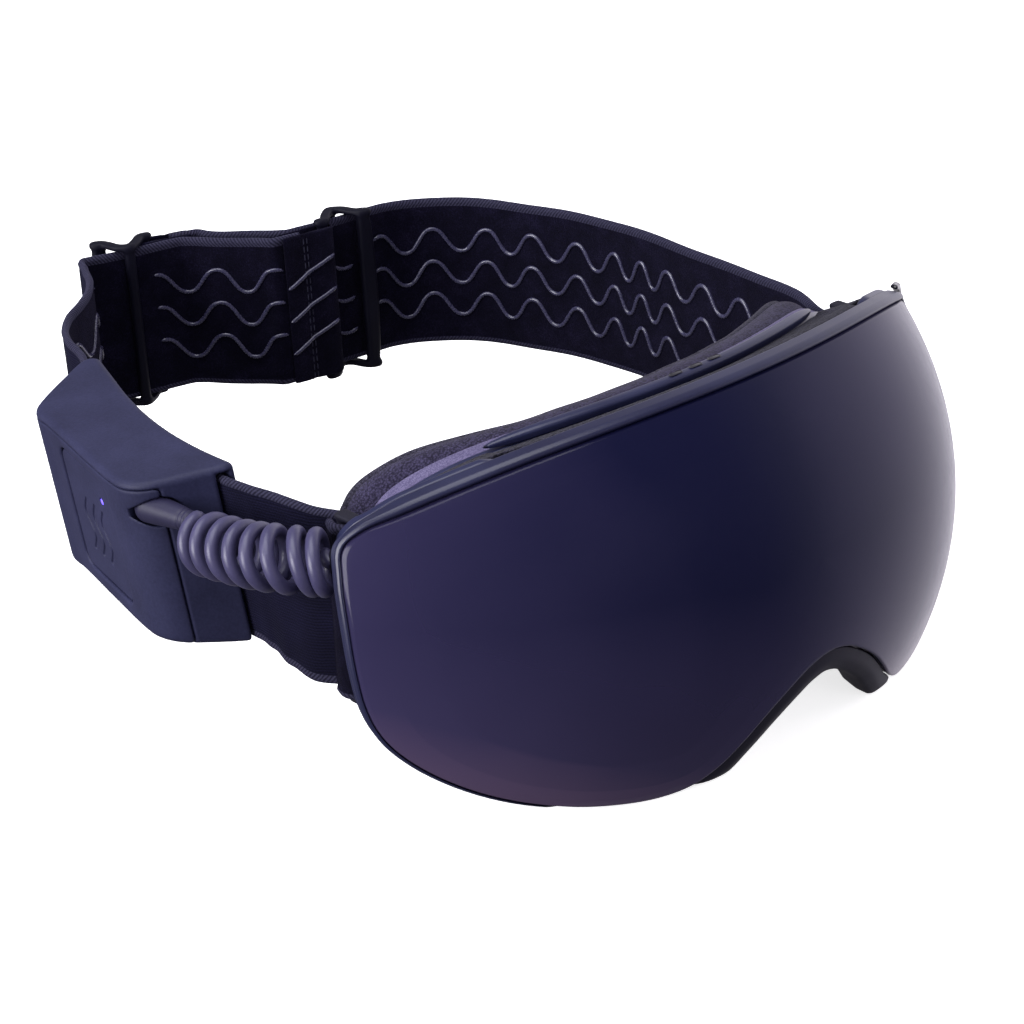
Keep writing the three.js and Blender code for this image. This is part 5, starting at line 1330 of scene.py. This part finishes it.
lo = np.array([*(pack_poly.min(0)), Z0])
hi = np.array([*(pack_poly.max(0)), Z1])
H = 0.27
X, Y, Z, o, h = field(lo, hi, H)
block = extrude(poly(pack_poly, X, Y), Z, Z0, Z1, 1.6)
block = smax(block, (base_z(Y) - Z) / math.hypot(1, SLOPE), 1.8)
band = smax(poly(band_poly, X, Y), Z - LID, 0.8)
boot_hole = cyl(X, Y, Z, R_A, R_B, 3.75, 2.75) - 0.05
px, py, pz = port_local(X, Y, Z)
pocket = rbox(px, py, pz, (0, 0, 0), (14.0, 7.2, 3.3), 1.0)
port_hole = np.maximum(stadium(px, py, 9.4, 3.6), np.abs(pz - 4) - 5)
slot = np.maximum(line_dist(slot_line, X, Y) - 1.35, np.abs(Z) - 20.55)
inner = smax(block, 0.11 - band, 0.32)
inner = smax(inner, -slot, 0.9)
inner = np.maximum(inner, -np.maximum(poly(cav_poly, X, Y) + 0.05, np.abs(Z - (Z0 + 6.4 + Z1 - 2.7) / 2) - (Z1 - 2.7 - Z0 - 6.4) / 2))
inner = smax(inner, -pocket, 0.4)
inner = np.maximum(inner, -port_hole)
inner = smax(inner, -boot_hole, 0.3)
piece("pack_inner_half", surface("pack_inner_half", inner, o, h, PACK_M, 2), "pack", "frame", ["pack_inner_shell"])

BTN_W, BTN_H, BTN_Z = 27.0, 30.0, 3.0


def rect2(x, z, w, h_, r):
    qx, qz = np.abs(x) - w / 2 + r, np.abs(z - BTN_Z) - h_ / 2 + r
    return np.minimum(np.maximum(qx, qz), 0) + np.hypot(np.maximum(qx, 0), np.maximum(qz, 0)) - r


outer = smax(block, band + 0.11, 0.32)
win = rect2(X, Z, BTN_W - 0.1, BTN_H - 0.1, 3.2)
outer = smax(outer, -np.maximum(win, np.abs(Y) - 1.6), 0.7)
outer = np.maximum(outer, -np.maximum(rect2(X, Z, BTN_W + 2.8, BTN_H + 2.8, 3.8), np.abs(Y + 3.75) - 2.25))
outer = smax(outer, -boot_hole, 0.5)
me = surface("pack_outer_half", outer, o, h, PACK_M, 2)
piece("pack_outer_half", me, "pack", "frame", ["pack_outer_shell"])

# the press panel, with a plain three-wave heat sign sunk in it
X, Y, Z, o, h = field((-15.5, -4.2, -14), (15.5, -0.2, 20), 0.16)
d = extrude(rect2(X, Z, BTN_W - 0.62, BTN_H - 0.62, 3.0) + 0 * Y, Y + 0 * X, -2.0, -0.12, 0.6)
d = np.minimum(d, extrude(rect2(X, Z, BTN_W + 1.8, BTN_H + 1.8, 3.6) + 0 * Y, Y + 0 * X, -2.9, -1.9, 0.2))
d = np.minimum(d, cyl(X, Y, Z, (0, -4.0, BTN_Z), (0, -2.6, BTN_Z), 1.5))
zz = np.linspace(-6.6, 6.6, 30)
for u0 in (-4.6, 0.0, 4.6):
    wave = np.stack([u0 + 1.3 * np.sin(zz / 13.2 * 2 * np.pi * 1.25), zz + BTN_Z - 1.5], 1)
    ld = line_dist(wave, X[:, 0, 0][:, None, None], Z[0, 0, :][None, :, None])[..., 0][:, None, :] - 0.42
    d = smax(d, -np.maximum(ld, -(Y + 0.12 + 0.35)), 0.2)
d = smax(d, -cyl(X, Y, Z, (-7, -5, 11.5), (-7, 0, 11.5), 0.95), 0.2)
piece("power_press_panel", surface("power_press_panel", d, o, h, PACK_M, 1), "pack", "button", ["power_button"])
X, Y, Z, o, h = field((-8, -3.1, 10.5), (-6, -0.4, 12.5), 0.08)
piece("status_light", surface("status_light", cyl(X, Y, Z, (-7, -2.85, 11.5), (-7, -0.20, 11.5), 0.72, r=0.18), o, h, PACK_M), "led", "button", ["status_led"])

# tapered boot where the lead leaves the pack
lo, hi = np.minimum(R_A, R_B) - 4.5, np.maximum(R_A, R_B) + 4.5
X, Y, Z, o, h = field(lo, hi, 0.2)
ra = lerp(R_A, R_B, 0.16)
d = rcone(X, Y, Z, ra, R_B + (R_A - R_B) * 0.12, 3.45, 2.35)
d = smax(d, cyl(X, Y, Z, R_A, R_B, 3.9, 2.6), 0.5)
for k in (0.86, 0.80, 0.74):       # three shallow flex grooves by the tip
    c = lerp(R_A, R_B, k + 0.06)
    e_ = (R_B - R_A) / np.linalg.norm(R_B - R_A)
    tt = (X - c[0]) * e_[0] + (Y - c[1]) * e_[1] + (Z - c[2]) * e_[2]
    d = smax(d, 0.22 * np.exp(-(tt / 0.28) ** 2) + d, 0.05)
d = smax(d, -cyl(X, Y, Z, R_B + (R_A - R_B) * 0.2, R_B + (R_B - R_A) * 0.2, 1.52), 0.15)
piece("lead_boot", surface("lead_boot", d, o, h, PACK_M), "boot", "frame", ["cable_strain_relief"])

# grommet on the frame where the lead goes in
X, Y, Z, o, h = field((-4, -1.2, -4), (4, 1.2, 4), 0.14)
d = cyl(X, Y, Z, (0, -0.7, 0), (0, 0.75, 0), 2.85, 2.35, 0.35)
d = smax(d, -cyl(X, Y, Z, (0, 0.1, 0), (0, 2, 0), 1.62), 0.25)
piece("lead_grommet", surface("lead_grommet", d, o, h, mat4(Matrix.Translation(GLAND.tolist()) @ Vector((0, 1, 0)).rotation_difference(Vector(GLAND_N.tolist())).to_matrix().to_4x4())), "rubber", "frame", ["cable_gland"])

# charging port, its flap, and what is inside the pack
X, Y, Z, o, h = field((-5, -2, 1.9), (5, 2, 9), 0.12)
d = smax(extrude(stadium(X, Y, 9.0, 3.2) + 0 * Z, Z, 2.05, 8.7, 0.12), -np.maximum(stadium(X, Y, 8.3, 2.5), Z - 7.6), 0.08)
d = np.minimum(d, rbox(X, Y, Z, (0, 0, 5.4), (6.4, 0.7, 5.4), 0.15))
piece("charge_socket", surface("charge_socket", d, o, h, PACK_M @ PORT), "steel", "frame", ["charge_port"])
X, Y, Z, o, h = field((-7.2, -3.8, -0.6), (7.2, 3.8, 1.7), 0.13)
d = rbox(X, Y, Z, (0, 0, 0.72), (13.0, 6.2, 1.1), 0.42)
d = smin(d, rbox(X, Y, Z, (0, -2.35, 0.10), (4.6, 0.9, 0.5), 0.2), 0.35)
for x in (-4.2, -2.1, 0, 2.1, 4.2):
    d = smax(d, 0.16 - np.hypot(X - x, (Z - 0.13)) + 0 * Y + np.maximum(np.abs(Y - 0.4) - 1.6, 0), 0.1)
piece("port_flap", surface("port_flap", d, o, h, PACK_M @ PORT), "rubber", "port_cover", ["charge_port_cover"])

cell = offset(inner_line, 7.6)
cell = to_pack(cell[(cell[:, 1] > 112.8) & (cell[:, 1] < 152.7)])
X, Y, Z, o, h = field((*(cell.min(0) - 2), -8.3), (*(cell.max(0) + 2), 16.8), 0.2)
d = extrude(line_dist(cell, X, Y) - 1.35, Z, -7.9, 16.4, 0.55)
d = smax(d, 0.10 - np.abs(Z - 15.2) + np.maximum(line_dist(cell, X, Y) * 0, 0) - 0.0, 0.1) if False else d
piece("battery_pouch", surface("battery_pouch", d, o, h, PACK_M), "foil", "frame", ["battery_cell"])
X, Y, Z, o, h = field((-16.5, -8.6, -9.3), (17.5, -6.1, 17.7), 0.2)
d = rbox(X, Y, Z, (0.5, -7.5, 4.2), (33, 1.2, 26), 0.25)
piece("control_board", surface("control_board", d, o, h, PACK_M), "board", "frame", ["circuit_board"])
X, Y, Z, o, h = field((-16.5, -7.1, -9.3), (17.5, -5.2, 17.7), 0.16)
d = None
for cx_, cz_, w_, hh_, t_ in ((-8, 9, 5, 5, 0.8), (8.5, 10, 4, 6, 0.7), (-10.5, -2, 3, 2, 0.6), (10, -3, 6, 3, 0.75), (3.5, 13.5, 2, 1.2, 0.5), (-3, 13.0, 2, 1.2, 0.5), (-6, -5.5, 2.4, 1.4, 0.55)):
    q = rbox(X, Y, Z, (cx_, -6.88 + t_ / 2, cz_), (w_, t_, hh_), 0.12)
    d = q if d is None else np.minimum(d, q)
piece("board_components", surface("board_components", d, o, h, PACK_M), "chip", "frame")
X, Y, Z, o, h = field((-2.9, -6.9, 0.2), (2.9, -4.9, 5.8), 0.12)
d = rbox(X, Y, Z, (0, -6.2, BTN_Z), (5, 0.8, 5), 0.2)
d = np.minimum(d, cyl(X, Y, Z, (0, -6, BTN_Z), (0, -5.05, BTN_Z), 1.1, r=0.15))
piece("press_switch", surface("press_switch", d, o, h, PACK_M), "gloss", "frame", ["tact_switch"])

# ------------------------------------------------------------------ floor, light
me = bpy.data.meshes.new("floor")
me.from_pydata([(-3, -3, -0.0401), (3, -3, -0.0401), (3, 3, -0.0401), (-3, 3, -0.0401)], [], [(0, 1, 2, 3)])
floor = bpy.data.objects.new("floor", me)
scene.collection.objects.link(floor)
fm = bpy.data.materials.new("floor_pale")
fm.use_nodes = True
fb = fm.node_tree.nodes["Principled BSDF"]
fb.inputs["Base Color"].default_value = (0.95, 0.95, 0.95, 1)
fb.inputs["Emission Color"].default_value = (1, 1, 1, 1)
fb.inputs["Emission Strength"].default_value = 0.75
fb.inputs["Roughness"].default_value = 0.8
fb.inputs["Specular IOR Level"].default_value = 0.2
me.materials.append(fm)
floor.visible_diffuse = False
floor.visible_glossy = False

world = bpy.data.worlds.new("world")
scene.world = world
world.use_nodes = True
wt = world.node_tree
bg = wt.nodes["Background"]
tc = wt.nodes.new("ShaderNodeTexCoord")
sep = wt.nodes.new("ShaderNodeSeparateXYZ")
wt.links.new(tc.outputs["Generated"], sep.inputs[0])
grad = wt.nodes.new("ShaderNodeMapRange")       # a dim room with a pale wall on the wearer's left
grad.interpolation_type = "SMOOTHSTEP"
wt.links.new(sep.outputs[0], grad.inputs[0])
for k, v in zip((1, 2, 3, 4), (0.36, 1.0, 0.22, 1.35)):
    grad.inputs[k].default_value = v
wt.links.new(grad.outputs[0], bg.inputs[1])
bg.inputs[0].default_value = (0.94, 0.90, 1.0, 1)


def softbox(name, loc, target, size, power, color=(1, 1, 1), glossy=True):
    ld_ = bpy.data.lights.new(name, "AREA")
    ld_.shape = "RECTANGLE"
    ld_.size, ld_.size_y = size
    ld_.energy = power
    ld_.color = color
    ob = bpy.data.objects.new(name, ld_)
    scene.collection.objects.link(ob)
    ob.location = loc
    ob.visible_glossy = glossy
    ob.rotation_euler = (Vector(target) - Vector(loc)).to_track_quat("-Z", "Y").to_euler()
    return ob


softbox("key_overhead", (-0.35, 0.10, 1.25), (0, 0.05, 0), (1.3, 1.0), 17.0, (0.95, 0.96, 1.0))
softbox("key_left", (-1.3, 0.30, 0.40), (-0.05, 0.06, 0), (0.9, 0.8), 26.0, (0.96, 0.95, 1.0))
softbox("fill_front", (-0.15, -1.4, 0.55), (0, 0, 0), (1.0, 0.7), 6.0, (0.97, 0.95, 1.0), False)
softbox("rim_right", (1.0, -0.55, 0.25), (0.06, -0.02, 0), (0.7, 0.7), 5.0, (1.0, 0.95, 0.98), False)
scene.view_settings.view_transform = "Standard"
scene.view_settings.look = "None"
